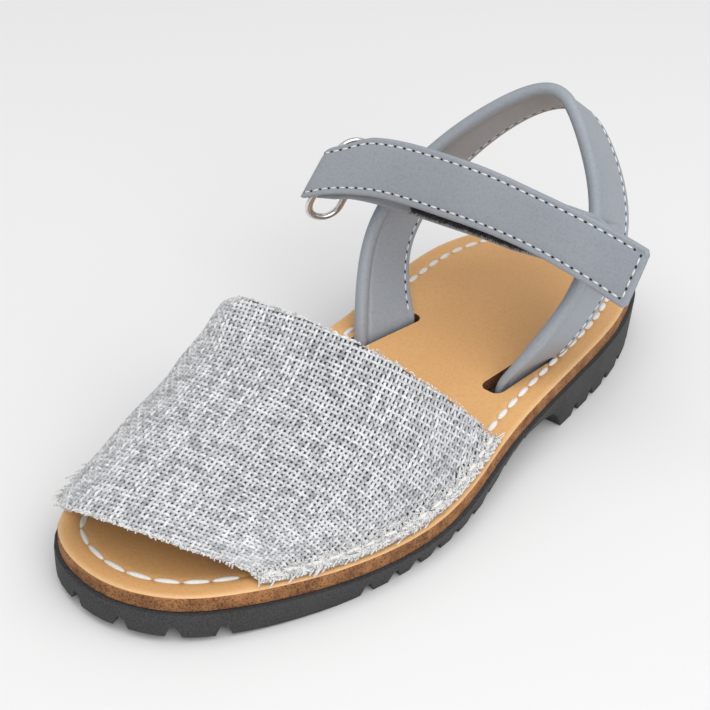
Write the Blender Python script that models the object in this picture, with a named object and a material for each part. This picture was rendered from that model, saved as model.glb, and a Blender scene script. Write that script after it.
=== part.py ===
# Left avarca sandal: rubber outsole, leather insole, woven open-toe vamp, heel strap,
# folded instep strap, metal ring with its leather keeper, and the touch fastener.
# Metres, +Z up. The toe points to -Y, the heel to +Y, the outer side of the foot to +X.
import math

import bmesh
import bpy
import numpy as np

for thing in list(bpy.data.objects):
    bpy.data.objects.remove(thing, do_unlink=True)

# Main sizes
LENGTH = 0.180
BALL_WIDTH = 0.068
HEEL_SEAT = 0.0152
SOLE_CENTRE_Y = 0.0
FOOT_MIDDLE_X = -0.00270
GAP = 0.0003

# Sole
INSOLE_THICKNESS = 0.0035
RUBBER_STANDS_OUT = 0.0009
UNDERCUT = 0.0022
DISH = 0.0005
STITCH_INSET = 0.0050
DISH_SLOPE = 0.006
STATION_ROOM = 0.0012

# Vamp
CLOTH = 0.0016
FLANGE = 0.0036
FLANGE_INSET = 0.0004
WALL_ROUND = 2.0
OUTER_ROUND = 1.6
CREST_LIMIT = -0.50

# Straps
STRAP_LEATHER = 0.0017
HEEL_WEB = 0.0018
ROLL_DIAMETER = 0.0032
SLOT_WIDTH = 0.0044
SLOT_END_ROOM = 0.0014
STRAP_WIDTH = 0.0138
LAYER_SPACE = 0.0030
FRONT_SIDE_LIFT = math.radians(20.0)
SEWN_LEAN = 0.38
SEWN_LEAN_STARTS = 0.034
SEWN_LEAN_OVER = 0.010
SEWN_FALL = 0.0030
LOWER_DROP = 0.0015
LOWER_DROP_STARTS_X = -0.030
LOWER_DROP_OVER_X = 0.012
LOWER_DROP_STARTS_Y = 0.0248
LOWER_DROP_OVER_Y = 0.0012
FOLD_LEAN = 0.30
FOLD_LEAN_STARTS = -0.026
FOLD_LEAN_OVER = 0.008
END_LEAN = 0.12
END_LEAN_STARTS = 0.036

# Ring and its keeper
RING_WIRE = 0.0018
RING_TOP_ROOM = 0.0002
RING_BOTTOM_ROOM = 0.0048
RING_CORNER = 0.0036
KEEPER_LEATHER = 0.0011
KEEPER_WIDTH = 0.0090
TAILS_APART = 0.0002
KEEPER_ROOM = 0.0007

# Touch fastener
PATCH = 0.0010
HOOK_WIDTH = 0.0104
LOOP_WIDTH = 0.0130
LOOP_DROP = 0.0013

# Leather outline: along as a share of LENGTH from the toe, across as a share of BALL_WIDTH
# from the middle line, outer side positive. The order runs from the toe tip down the outer
# side to the heel and back up the inner side.
OUTLINE = [
    ("toe tip", 0.000, -0.035),
    ("toe outside", 0.033, 0.205),
    ("small toe", 0.170, 0.437),
    ("ball outside", 0.341, 0.540),
    ("waist outside", 0.541, 0.474),
    ("heel outside", 0.838, 0.382),
    ("heel back outside", 0.957, 0.232),
    ("heel back", 1.000, -0.010),
    ("heel back inside", 0.957, -0.250),
    ("heel inside", 0.836, -0.402),
    ("waist inside", 0.552, -0.371),
    ("ball inside", 0.366, -0.462),
    ("big toe joint", 0.179, -0.430),
    ("big toe", 0.034, -0.285),
]

# Height of the insole's top: along as a share of LENGTH, height as a share of HEEL_SEAT
FOOTBED = [
    ("toe", 0.00, 0.717), ("toes", 0.08, 0.680), ("big toe joint", 0.20, 0.600), ("ball", 0.31, 0.565),
    ("behind the ball", 0.40, 0.640), ("waist", 0.50, 0.795), ("arch", 0.60, 0.905),
    ("front of heel", 0.70, 0.970), ("heel seat", 0.83, 1.000), ("heel back", 1.00, 1.040),
]

# Underside: along as a share of LENGTH, height as a share of HEEL_SEAT, and how far its edge
# stands in from the side above, as a share of UNDERCUT
UNDERSIDE = [
    ("toe edge", 0.000, 0.110, 0.0), ("toe", 0.040, 0.075, 0.1), ("toe spring", 0.110, 0.025, 0.3),
    ("tread starts", 0.190, 0.000, 0.45), ("ball", 0.340, 0.000, 0.7), ("tread ends", 0.450, 0.000, 0.8),
    ("arch starts", 0.500, 0.110, 0.9), ("arch rises", 0.540, 0.270, 0.9), ("arch", 0.580, 0.370, 0.8),
    ("arch top", 0.615, 0.385, 0.7), ("arch back", 0.640, 0.330, 0.6), ("heel front top", 0.652, 0.210, 0.5),
    ("heel front foot", 0.660, 0.000, 0.4), ("heel back", 1.000, 0.000, 0.3),
]

# Side notches between the lugs: along and side (1 outer, -1 inner), then the toe and heel ones
# by their angle round the end, in degrees from the middle line, outer side positive
SIDE_NOTCHES = [
    (0.228, 1), (0.268, 1), (0.303, 1), (0.340, 1), (0.380, 1), (0.422, 1), (0.466, 1), (0.512, 1),
    (0.560, 1),
    (0.700, 1), (0.745, 1), (0.792, 1), (0.845, 1),
    (0.240, -1), (0.290, -1), (0.340, -1), (0.390, -1), (0.440, -1), (0.490, -1), (0.545, -1),
    (0.700, -1), (0.745, -1), (0.792, -1), (0.845, -1),
]
TOE_NOTCHES = [-62.0, -38.0, -14.0, 8.0, 28.0, 48.0]
HEEL_NOTCHES = [-66.0, -40.0, -13.0, 13.0, 40.0, 66.0]
NOTCH_WIDE = 0.0034
NOTCH_NARROW = 0.0014
NOTCH_HEIGHT = 0.0024
NOTCH_DEPTH = 0.0032
NOTCH_BELOW = 0.0020
NOTCH_OUTSIDE = 0.0030
TOE_TURN = 0.030
HEEL_TURN = 0.028

# Vamp at its toe opening, middle and back edge: rise above the insole as a share of HEEL_SEAT,
# lean toward the toe as a share of LENGTH, place of the crest (-1 inner foot, 1 outer foot),
# fullness of the inner and the outer side, and along of the inner and the outer foot
VAMP = [
    ("toe opening", 0.715, 0.061, -0.35, 2.3, 2.0, 0.058, 0.111),
    ("middle", 1.450, 0.057, -0.42, 2.2, 2.0, 0.264, 0.291),
    ("back edge", 1.990, 0.131, -0.50, 2.7, 2.25, 0.448, 0.492),
]

# Heel strap from the inner slot over the back to the outer slot, in shares of LENGTH: rolled
# edge x, y, z and stitched edge x, y, z. y runs back from the middle of the sole.
HEEL_STRAP = [
    ("inner slot", -0.0874, 0.0575, 0.0805, -0.0667, 0.1472, 0.0744),
    ("inner leg", -0.1395, 0.1460, 0.1868, -0.1211, 0.2078, 0.1450),
    ("inner leg top", -0.1224, 0.2425, 0.2689, -0.1239, 0.3100, 0.2156),
    ("inner back", -0.0646, 0.3100, 0.3335, -0.0722, 0.3850, 0.2861),
    ("back", 0.0011, 0.3382, 0.3665, 0.0011, 0.4056, 0.3194),
    ("outer back", 0.0646, 0.3100, 0.3376, 0.0722, 0.3850, 0.2861),
    ("outer leg top", 0.1311, 0.2524, 0.2672, 0.1422, 0.3211, 0.2111),
    ("outer leg", 0.1577, 0.1661, 0.1825, 0.1572, 0.2306, 0.1356),
    ("outer slot", 0.1144, 0.0877, 0.0741, 0.1256, 0.1844, 0.0639),
]

# Instep strap seen along its width: x and y of the lower layer's middle, in shares of LENGTH
LOWER_LAYER = [
    ("sewn end", 0.1564, 0.278), ("sewn", 0.1584, 0.247), ("beside the roll", 0.1640, 0.217),
    ("round the leg", 0.1560, 0.187), ("outer front", 0.122, 0.167), ("middle", 0.020, 0.160),
    ("inner front", -0.120, 0.156),
    ("before the ring", -0.200, 0.155), ("fold", -0.2115, 0.155),
]
UPPER_END_X = 0.2665

# Height of the strap's middle and its width along its length: x and z in shares of LENGTH, then
# the width as a share of STRAP_WIDTH
STRAP_HEIGHT = [
    ("fold", -0.235, 0.233, 1.01), ("inner", -0.140, 0.272, 1.02), ("middle", 0.000, 0.2835, 1.02),
    ("outer", 0.110, 0.2805, 0.955), ("beside the end", 0.200, 0.2710, 0.99),
    ("free end", 0.2665, 0.260, 1.01),
]
STRAP_REST_Y = 0.160
STRAP_REST_Z = 0.275
RING_FRONT_BAR = (-0.2101, 0.1419)
RING_BACK_BAR = (-0.1883, 0.1803)
KEEPER_TAIL = [(-0.1417, 0.2780), (-0.1462, 0.2444), (-0.1547, 0.2167), (-0.1695, 0.1956)]


def ease(rows, count_each=6):
    """Smooth open curve through the rows, centripetal Catmull-Rom."""
    pts = np.array(rows, float)
    ends = np.vstack([2 * pts[0] - pts[1], pts, 2 * pts[-1] - pts[-2]])
    return catmull(ends, count_each, False)


def catmull(pts, count_each, closed):
    """Points along a centripetal Catmull-Rom curve; the first and last rows only steer an open one."""
    if closed:
        pts = np.vstack([pts[-1:], pts, pts[:2]])
    out = []
    for p0, p1, p2, p3 in zip(pts[:-3], pts[1:-2], pts[2:-1], pts[3:]):
        t1 = max(np.linalg.norm(p1 - p0), 1e-9) ** 0.5
        t2 = t1 + max(np.linalg.norm(p2 - p1), 1e-9) ** 0.5
        t3 = t2 + max(np.linalg.norm(p3 - p2), 1e-9) ** 0.5
        for t in np.linspace(t1, t2, count_each, endpoint=False):
            a1 = (t1 - t) / t1 * p0 + t / t1 * p1
            a2 = (t2 - t) / (t2 - t1) * p1 + (t - t1) / (t2 - t1) * p2
            a3 = (t3 - t) / (t3 - t2) * p2 + (t - t2) / (t3 - t2) * p3
            b1 = (t2 - t) / t2 * a1 + t / t2 * a2
            b2 = (t3 - t) / (t3 - t1) * a2 + (t - t1) / (t3 - t1) * a3
            out.append((t2 - t) / (t2 - t1) * b1 + (t - t1) / (t2 - t1) * b2)
    if not closed:
        out.append(pts[-2])
    return np.array(out)


def spline(rows, count):
    """Points along a natural cubic curve through evenly spaced rows."""
    pts = np.array(rows, float)
    n = len(pts)
    grid = np.zeros((n, n))
    right = np.zeros_like(pts)
    grid[0, 0] = grid[-1, -1] = 1.0
    for k in range(1, n - 1):
        grid[k, k - 1:k + 2] = (1.0, 4.0, 1.0)
        right[k] = 6.0 * (pts[k - 1] - 2.0 * pts[k] + pts[k + 1])
    bend = np.linalg.solve(grid, right)
    out = []
    for t in np.linspace(0, n - 1, count):
        k = min(int(t), n - 2)
        a = k + 1 - t
        b = t - k
        out.append(bend[k] * a ** 3 / 6 + bend[k + 1] * b ** 3 / 6
                   + (pts[k] - bend[k] / 6) * a + (pts[k + 1] - bend[k + 1] / 6) * b)
    return np.array(out)


def material(name, colour, roughness, metallic=0.0):
    """Principled material."""
    mat = bpy.data.materials.new(name)
    mat.use_nodes = True
    shader = mat.node_tree.nodes["Principled BSDF"]
    shader.inputs["Base Color"].default_value = (*colour, 1.0)
    shader.inputs["Roughness"].default_value = roughness
    shader.inputs["Metallic"].default_value = metallic
    return mat


def solid(name, verts, faces, mat):
    """Object from points and faces, with its faces turned outward."""
    mesh = bpy.data.meshes.new(name)
    mesh.from_pydata([tuple(v) for v in verts], [], [tuple(f) for f in faces])
    work = bmesh.new()
    work.from_mesh(mesh)
    bmesh.ops.remove_doubles(work, verts=work.verts, dist=0.00002)
    bmesh.ops.triangulate(work, faces=work.faces)
    bmesh.ops.recalc_face_normals(work, faces=work.faces)
    work.to_mesh(mesh)
    work.free()
    obj = bpy.data.objects.new(name, mesh)
    bpy.context.scene.collection.objects.link(obj)
    if mat:
        mesh.materials.append(mat)
    return obj


def rings_solid(name, rings, mat, capped=True):
    """Solid through rings of equal count, ends closed by fans of their own points."""
    rings = [np.asarray(r) for r in rings]
    count = len(rings[0])
    verts = np.vstack(rings)
    faces = []
    for k in range(len(rings) - 1):
        for j in range(count):
            n = (j + 1) % count
            faces.append((k * count + j, k * count + n, (k + 1) * count + n, (k + 1) * count + j))
    if capped:
        faces.append(tuple(range(count)))
        faces.append(tuple((len(rings) - 1) * count + j for j in range(count)))
    else:
        last = (len(rings) - 1) * count
        for j in range(count):
            n = (j + 1) % count
            faces.append((last + j, last + n, n, j))
    return solid(name, verts, faces, mat)


def cut(obj, tool):
    """Take the tool away from the object and keep the result as plain faces."""
    tool.hide_render = True
    tool.display_type = "WIRE"
    step = obj.modifiers.new("cut", "BOOLEAN")
    step.operation = "DIFFERENCE"
    step.solver = "EXACT"
    step.object = tool
    bpy.context.view_layer.update()
    graph = bpy.context.evaluated_depsgraph_get()
    done = bpy.data.meshes.new_from_object(obj.evaluated_get(graph))
    obj.modifiers.clear()
    obj.data = done
    bpy.data.objects.remove(tool, do_unlink=True)
    work = bmesh.new()
    work.from_mesh(obj.data)
    bmesh.ops.remove_doubles(work, verts=work.verts, dist=0.00002)
    bmesh.ops.triangulate(work, faces=work.faces)
    work.to_mesh(obj.data)
    work.free()
    return obj


def join_shapes(name, shapes):
    """One tool object out of several separate closed shapes."""
    verts = []
    faces = []
    for points, polygons in shapes:
        base = len(verts)
        verts.extend(points)
        faces.extend(tuple(base + i for i in p) for p in polygons)
    return solid(name, verts, faces, None)


def prism(ring, direction):
    """Closed shape: a ring of points and the same ring moved along a direction."""
    n = len(ring)
    points = [np.array(p) for p in ring] + [np.array(p) + np.array(direction) for p in ring]
    polygons = [tuple(range(n)), tuple(range(n, 2 * n))]
    for j in range(n):
        k = (j + 1) % n
        polygons.append((j, k, n + k, n + j))
    return points, polygons


# Outline, footbed height and underside height as functions
front = SOLE_CENTRE_Y - LENGTH / 2
outline_rows = [(a * BALL_WIDTH, front + u * LENGTH) for _, u, a in OUTLINE]
OUTLINE_RING = catmull(np.array(outline_rows), 24, True)
OUTLINE_RING[:, 1] = np.clip(OUTLINE_RING[:, 1], front, front + LENGTH)


def offset_ring(ring, distance):
    """Ring moved outward by a distance."""
    step = np.roll(ring, -1, axis=0) - np.roll(ring, 1, axis=0)
    step /= np.linalg.norm(step, axis=1)[:, None]
    out = np.column_stack([step[:, 1], -step[:, 0]])
    middle = ring.mean(axis=0)
    if ((ring - middle) * out).sum() < 0:
        out = -out
    return ring + out * distance


def sides(ring):
    """Inner and outer x of a ring as functions of y, with its two ends."""
    top = int(np.argmin(ring[:, 1]))
    ring = np.roll(ring, -top, axis=0)
    back = int(np.argmax(ring[:, 1]))
    outer = ring[:back + 1]
    inner = np.vstack([ring[back:], ring[:1]])[::-1]
    if outer[len(outer) // 2, 0] < inner[len(inner) // 2, 0]:
        outer, inner = inner, outer
    return outer, inner


def side_x(ring, y, side):
    """x of the ring's outer (1) or inner (-1) side at y."""
    outer, inner = sides(ring)
    line = outer if side > 0 else inner
    return float(np.interp(y, line[:, 1], line[:, 0]))


def height_of(rows):
    """Height along the foot as a function of y."""
    smooth = ease([row[1:] for row in rows], 8)

    def height(y):
        share = (y - front) / LENGTH
        return np.interp(share, smooth[:, 0], smooth[:, 1]) * HEEL_SEAT
    return height


footbed = height_of(FOOTBED)


def underside(y):
    """Height of the outsole's underside, straight between the rows."""
    rows = np.array([row[1:] for row in UNDERSIDE])
    return float(np.interp((y - front) / LENGTH, rows[:, 0], rows[:, 1]) * HEEL_SEAT)


def undercut(y):
    """How far the underside's edge stands in from the side above it."""
    rows = np.array([row[1:] for row in UNDERSIDE])
    return float(np.interp((y - front) / LENGTH, rows[:, 0], rows[:, 2]) * UNDERCUT)


def stations(ring, extra, count=40):
    """y values along a ring, closer at both ends, with extra ones added."""
    low = ring[:, 1].min()
    high = ring[:, 1].max()
    ys = low + (high - low) * (1 - np.cos(np.linspace(0, math.pi, count))) / 2
    keep = [y for y in ys if all(abs(y - e) > STATION_ROOM for e in extra)]
    return sorted(keep + list(extra))


def sole_solid(name, ring, extra, shares, top, bottom, mat, count=40, inset=None):
    """Solid between a top and a bottom height over the ring, in strips across the foot."""
    ys = stations(ring, extra, count)
    verts = []
    faces = []
    tops = []
    bottoms = []
    outer, inner = sides(ring)
    for y in ys:
        right = float(np.interp(y, outer[:, 1], outer[:, 0]))
        left = float(np.interp(y, inner[:, 1], inner[:, 0]))
        row_top = []
        row_bottom = []
        for s in shares:
            x = left + (right - left) * s
            row_top.append(len(verts))
            verts.append((x, y, top(x, y)))
        step = min(inset(y), (right - left) * 0.25) if inset else 0.0
        for x in (left + step, right - step):
            row_bottom.append(len(verts))
            verts.append((x, y, bottom(x, y)))
        tops.append(row_top)
        bottoms.append(row_bottom)
    for k in range(len(ys) - 1):
        for j in range(len(shares) - 1):
            faces.append((tops[k][j], tops[k][j + 1], tops[k + 1][j + 1], tops[k + 1][j]))
        faces.append((bottoms[k][0], bottoms[k + 1][0], bottoms[k + 1][1], bottoms[k][1]))
        faces.append((tops[k][0], tops[k + 1][0], bottoms[k + 1][0], bottoms[k][0]))
        faces.append((tops[k][-1], bottoms[k][1], bottoms[k + 1][1], tops[k + 1][-1]))
    for k in (0, -1):
        faces.append(tuple(tops[k]) + (bottoms[k][1], bottoms[k][0]))
    return solid(name, verts, faces, mat)


rubber = material("rubber", (0.035, 0.035, 0.037), 0.75)
tan_leather = material("tan_leather", (0.62, 0.36, 0.15), 0.55)
woven = material("woven_cloth", (0.66, 0.67, 0.68), 0.9)
grey_leather = material("grey_leather", (0.30, 0.33, 0.36), 0.5)
steel = material("steel", (0.75, 0.75, 0.77), 0.25, 1.0)
fastener = material("fastener_cloth", (0.10, 0.10, 0.11), 0.95)

# Outsole: heel block, arch and toe spring, then the notches between the lugs
RUBBER_RING = offset_ring(OUTLINE_RING, RUBBER_STANDS_OUT)
breaks = [front + row[1] * LENGTH for row in UNDERSIDE[1:-1]]


def rubber_top(x, y):
    return footbed(y) - INSOLE_THICKNESS - GAP


outsole = sole_solid("outsole", RUBBER_RING, breaks, (0.0, 0.5, 1.0), rubber_top,
                     lambda x, y: underside(y), rubber, 56, undercut)


def notch(x, y, out_x, out_y):
    """Tapered notch running inward from a point of the side."""
    along = np.array([-out_y, out_x, 0.0])
    out = np.array([out_x, out_y, 0.0])
    base = np.array([x, y, underside(y) - NOTCH_BELOW])
    low = NOTCH_BELOW
    ring = [
        base - along * NOTCH_WIDE / 2,
        base + along * NOTCH_WIDE / 2,
        base + along * NOTCH_WIDE / 2 + np.array([0, 0, low]),
        base + along * NOTCH_NARROW / 2 + np.array([0, 0, low + NOTCH_HEIGHT]),
        base - along * NOTCH_NARROW / 2 + np.array([0, 0, low + NOTCH_HEIGHT]),
        base - along * NOTCH_WIDE / 2 + np.array([0, 0, low]),
    ]
    start = [p + out * NOTCH_OUTSIDE for p in ring]
    return prism(start, -out * (NOTCH_OUTSIDE + NOTCH_DEPTH))


def ring_normal(ring, index):
    """Outward direction of the ring at a point."""
    ahead = ring[(index + 2) % len(ring)] - ring[index - 2]
    out = np.array([ahead[1], -ahead[0]]) / np.linalg.norm(ahead)
    if np.dot(out, ring[index] - ring.mean(axis=0)) < 0:
        out = -out
    return out


notches = []
for share, side in SIDE_NOTCHES:
    y = front + share * LENGTH
    x = side_x(RUBBER_RING, y, side)
    index = int(np.argmin(np.hypot(RUBBER_RING[:, 0] - x, RUBBER_RING[:, 1] - y)))
    out = ring_normal(RUBBER_RING, index)
    notches.append(notch(x, y, out[0], out[1]))
ends = ((TOE_NOTCHES, front + TOE_TURN, -1), (HEEL_NOTCHES, front + LENGTH - HEEL_TURN, 1))
for angles, centre_y, sign in ends:
    for angle in angles:
        way = np.array([math.sin(math.radians(angle)), sign * math.cos(math.radians(angle))])
        reach = (RUBBER_RING - [0, centre_y]) @ way
        off = np.abs((RUBBER_RING - [0, centre_y]) @ np.array([way[1], -way[0]]))
        index = int(np.argmin(np.where(reach > 0, off, 1.0)))
        out = ring_normal(RUBBER_RING, index)
        notches.append(notch(RUBBER_RING[index, 0], RUBBER_RING[index, 1], out[0], out[1]))
cut(outsole, join_shapes("lug_notches", notches))

# Insole: leather footbed, dished inside the stitch line, with a slot for each strap end


def insole_top(x, y):
    left = side_x(OUTLINE_RING, y, -1)
    right = side_x(OUTLINE_RING, y, 1)
    room = min(x - left, right - x, y - front, front + LENGTH - y)
    return footbed(y) - DISH * min(max((room - STITCH_INSET) / DISH_SLOPE, 0.0), 1.0)


across = (0.0, 0.09, 0.20, 0.35, 0.5, 0.65, 0.80, 0.91, 1.0)
insole = sole_solid("insole", OUTLINE_RING, [], across, insole_top,
                    lambda x, y: footbed(y) - INSOLE_THICKNESS, tan_leather)


def slot(rolled, stitched):
    """Round-ended slot tool between the two edges of a strap end."""
    a = np.array(rolled[:2])
    b = np.array(stitched[:2])
    along = (b - a) / np.linalg.norm(b - a)
    a = a - along * (ROLL_DIAMETER / 2 + SLOT_END_ROOM - SLOT_WIDTH / 2)
    b = b + along * (SLOT_END_ROOM - SLOT_WIDTH / 2)
    side = np.array([-along[1], along[0]])
    ring = []
    for centre, way in ((a, -along), (b, along)):
        for step in range(7):
            turn = math.radians(-90 + 30 * step)
            normal = side if way is along else -side
            point = centre + SLOT_WIDTH / 2 * (way * math.cos(turn) + normal * math.sin(turn))
            ring.append((point[0], point[1], HEEL_SEAT * 0.4))
    return prism(ring, (0, 0, HEEL_SEAT))


strap_rows = np.array([row[1:] for row in HEEL_STRAP]) * LENGTH
cut(insole, join_shapes("strap_slots", [slot(strap_rows[k, :3], strap_rows[k, 3:]) for k in (0, -1)]))

# Vamp: woven band arched over the toes, turned out on both sides as a flange on the insole
def vamp_row(share):
    """Vamp sizes at a share of the way from the toe opening to the back edge."""
    a, b, c = (np.array(row[1:]) for row in VAMP)
    return a * (1 - share) * (1 - 2 * share) + 4 * b * share * (1 - share) + c * share * (2 * share - 1)


def vamp_point(row, u):
    """Outer surface of the vamp: u from -1 (inner foot) to 1 (outer foot), past 1 on the flange."""
    rise, lean, crest, inner_full, outer_full, inner_along, outer_along = row
    crest = max(crest, CREST_LIMIT)
    s = math.sin(max(-1.0, min(1.0, u)) * math.pi / 2)
    if s < crest:
        h = max(1 - ((crest - s) / (1 + crest)) ** inner_full, 0.0) ** (1 / WALL_ROUND)
    else:
        h = max(1 - ((s - crest) / (1 - crest)) ** outer_full, 0.0) ** (1 / OUTER_ROUND)
    y_inner = front + inner_along * LENGTH
    y_outer = front + outer_along * LENGTH
    left = side_x(OUTLINE_RING, y_inner, -1) + FLANGE + FLANGE_INSET
    right = side_x(OUTLINE_RING, y_outer, 1) - FLANGE - FLANGE_INSET
    x = (left + right) / 2 + (right - left) / 2 * s
    base_y = y_inner + (y_outer - y_inner) * (s + 1) / 2
    y = base_y - lean * LENGTH * h
    z = footbed(base_y) + GAP + CLOTH + rise * HEEL_SEAT * h
    if abs(u) > 1.0:
        side = 1 if u > 0 else -1
        x += side * FLANGE * (abs(u) - 1.0)
    return np.array([x, y, z])


def shell(name, outside, thickness, mat):
    """Hollow wall: the outside grid of points and the same grid moved inward by the thickness."""
    outside = np.array(outside)
    du = np.gradient(outside, axis=1)
    dv = np.gradient(outside, axis=0)
    normal = np.cross(du, dv)
    normal /= np.linalg.norm(normal, axis=2)[..., None]
    if normal[..., 2].sum() < 0:
        normal = -normal
    inside = outside - normal * thickness
    rows, cols = outside.shape[:2]
    verts = np.vstack([outside.reshape(-1, 3), inside.reshape(-1, 3)])
    half = rows * cols
    faces = []
    for i in range(rows - 1):
        for j in range(cols - 1):
            a = i * cols + j
            faces.append((a, a + 1, a + cols + 1, a + cols))
            faces.append((half + a, half + a + cols, half + a + cols + 1, half + a + 1))
    edge = [(0, j) for j in range(cols)] + [(i, cols - 1) for i in range(1, rows)]
    edge += [(rows - 1, j) for j in range(cols - 2, -1, -1)] + [(i, 0) for i in range(rows - 2, 0, -1)]
    ids = [i * cols + j for i, j in edge]
    for a, b in zip(ids, ids[1:] + ids[:1]):
        faces.append((a, b, half + b, half + a))
    return solid(name, verts, faces, mat)


us = [-2.0, -1.4] + list(np.linspace(-1.0, 1.0, 29)) + [1.4, 2.0]
vamp_grid = [[vamp_point(vamp_row(share), u) for u in us] for share in np.linspace(0, 1, 17)]
vamp = shell("vamp", vamp_grid, CLOTH, woven)

# Heel strap: flat band with a rolled upper edge, both ends through the insole's slots
strap_path = spline(strap_rows, 41)
ends = []
for row in (strap_path[0], strap_path[-1]):
    levels = []
    for share in (0.0, 1.0):
        end = row.copy()
        for k in (0, 3):
            end[k + 2] = footbed(end[k + 1]) - INSOLE_THICKNESS * (1 - share)
        levels.append(end)
    ends.append(levels)
strap_path = np.vstack([ends[0], strap_path[2:-2], ends[1][::-1]])
rings = []
centre = (strap_path[:, :3] + strap_path[:, 3:]) / 2
heading = np.gradient(centre, axis=0)
heading[0] = heading[1] = (0, 0, 1)
heading[-1] = heading[-2] = (0, 0, -1)
for k, (rolled, stitched) in enumerate(zip(strap_path[:, :3], strap_path[:, 3:])):
    width = np.linalg.norm(rolled - stitched)
    up = (rolled - stitched) / width
    out = np.cross(heading[k], up)
    out /= np.linalg.norm(out)
    ring = []
    flat = width - ROLL_DIAMETER / 2
    for share in (0.0, 0.5, 1.0):
        ring.append(stitched + up * flat * share * 0.96 + out * HEEL_WEB / 2)
    for step in range(7):
        turn = math.radians(120 - 40 * step)
        ring.append(rolled + ROLL_DIAMETER / 2 * (up * math.cos(turn) + out * math.sin(turn)))
    for share in (1.0, 0.5, 0.0):
        ring.append(stitched + up * flat * share * 0.96 - out * HEEL_WEB / 2)
    rings.append(ring)
heel_strap = rings_solid("heel_strap", rings, grey_leather)

# Instep strap and its fastener, drawn along the strap's own width direction
WIDE = np.array([0.0, math.sin(FRONT_SIDE_LIFT), math.cos(FRONT_SIDE_LIFT)])
strap_height = ease(np.array([row[1:] for row in STRAP_HEIGHT]) * LENGTH, 8)


def strap_place(x, y, w):
    """Point of the strap: plan position at the strap's middle, w along its width."""
    lift = np.interp(x, strap_height[:, 0], strap_height[:, 1]) - STRAP_REST_Z * LENGTH
    w *= float(np.interp(x, strap_height[:, 0], strap_height[:, 2])) / LENGTH
    base_y = STRAP_REST_Y * LENGTH
    centre = np.array([x, base_y, STRAP_REST_Z * LENGTH]) + WIDE * lift / WIDE[2]
    flat = np.array([0.0, math.cos(FRONT_SIDE_LIFT), -math.sin(FRONT_SIDE_LIFT)])
    sewn = min(max((y - SEWN_LEAN_STARTS) / SEWN_LEAN_OVER, 0.0), 1.0)
    if x > 0:
        w -= SEWN_FALL * sewn
    inward = min(max((x - LOWER_DROP_STARTS_X) / LOWER_DROP_OVER_X, 0.0), 1.0)
    behind = min(max((y - LOWER_DROP_STARTS_Y) / LOWER_DROP_OVER_Y, 0.0), 1.0)
    w -= LOWER_DROP * inward * behind
    folded = min(max((FOLD_LEAN_STARTS - x) / FOLD_LEAN_OVER, 0.0), 1.0)
    ended = min(max((x - END_LEAN_STARTS) / FOLD_LEAN_OVER, 0.0), 1.0)
    centre[0] += (FOLD_LEAN * folded + END_LEAN * ended - math.copysign(SEWN_LEAN * sewn, x)) * w
    return centre + flat * (y - base_y) + WIDE * w


def band(name, line, thickness, width, mat, drop=0.0):
    """Strip of even thickness whose middle follows a line, as wide as the width."""
    line = np.asarray(line)
    way = np.gradient(line, axis=0)
    way /= np.linalg.norm(way, axis=1)[:, None]
    side = np.column_stack([-way[:, 1], way[:, 0]])
    rings = []
    for p, s in zip(line, side):
        a = p + s * thickness / 2
        b = p - s * thickness / 2
        rings.append([strap_place(a[0], a[1], width / 2 + drop), strap_place(b[0], b[1], width / 2 + drop),
                      strap_place(b[0], b[1], -width / 2 + drop), strap_place(a[0], a[1], -width / 2 + drop)])
    return rings_solid(name, rings, mat)


lower = ease(np.array([row[1:] for row in LOWER_LAYER]) * LENGTH, 4)
turn_radius = (LAYER_SPACE + STRAP_LEATHER) / 2
fold_centre = lower[-1] - [0, turn_radius]
fold = [fold_centre + turn_radius * np.array([-math.sin(a), math.cos(a)])
        for a in np.linspace(0, math.pi, 9)[1:]]
upper = [(x, fold[-1][1]) for x in np.linspace(fold[-1][0], UPPER_END_X * LENGTH, 12)[1:]]
instep_strap = band("instep_strap", np.vstack([lower, fold, upper]), STRAP_LEATHER, STRAP_WIDTH, grey_leather)

# Touch fastener: the loop patch on the lower layer and the hook patch under the upper one
loop_line = [(x, np.interp(x, lower[::-1, 0], lower[::-1, 1]) - STRAP_LEATHER / 2 - GAP - PATCH / 2)
             for x in np.linspace(-0.095, 0.130, 9) * LENGTH]
hook_line = [(x, fold[-1][1] + STRAP_LEATHER / 2 + GAP + PATCH / 2)
             for x in np.linspace(-0.095, 0.185, 8) * LENGTH]
loop_patch = band("loop_patch", loop_line, PATCH, LOOP_WIDTH, fastener, -LOOP_DROP)
hook_patch = band("hook_patch", hook_line, PATCH, HOOK_WIDTH, fastener)

# Ring: a round wire bent to a long loop with round corners, its front bar inside the fold
bar_front = np.array(RING_FRONT_BAR) * LENGTH
bar_back = np.array(RING_BACK_BAR) * LENGTH
across_way = (bar_back - bar_front) / np.linalg.norm(bar_back - bar_front)
ring_radius = np.linalg.norm(bar_back - bar_front) / 2
ring_middle = (bar_front + bar_back) / 2
ring_height = STRAP_WIDTH + RING_TOP_ROOM + RING_BOTTOM_ROOM + RING_WIRE
ring_drop = (RING_BOTTOM_ROOM - RING_TOP_ROOM) / 2
half_high = ring_height / 2 - RING_CORNER
half_wide = ring_radius - RING_CORNER
oval = []
for quarter, (sx, sy) in enumerate(((1, 1), (-1, 1), (-1, -1), (1, -1))):
    for a in np.linspace(0, math.pi / 2, 6) + quarter * math.pi / 2:
        oval.append((sx * half_wide + RING_CORNER * math.cos(a), sy * half_high + RING_CORNER * math.sin(a)))
ring_rings = []
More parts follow.
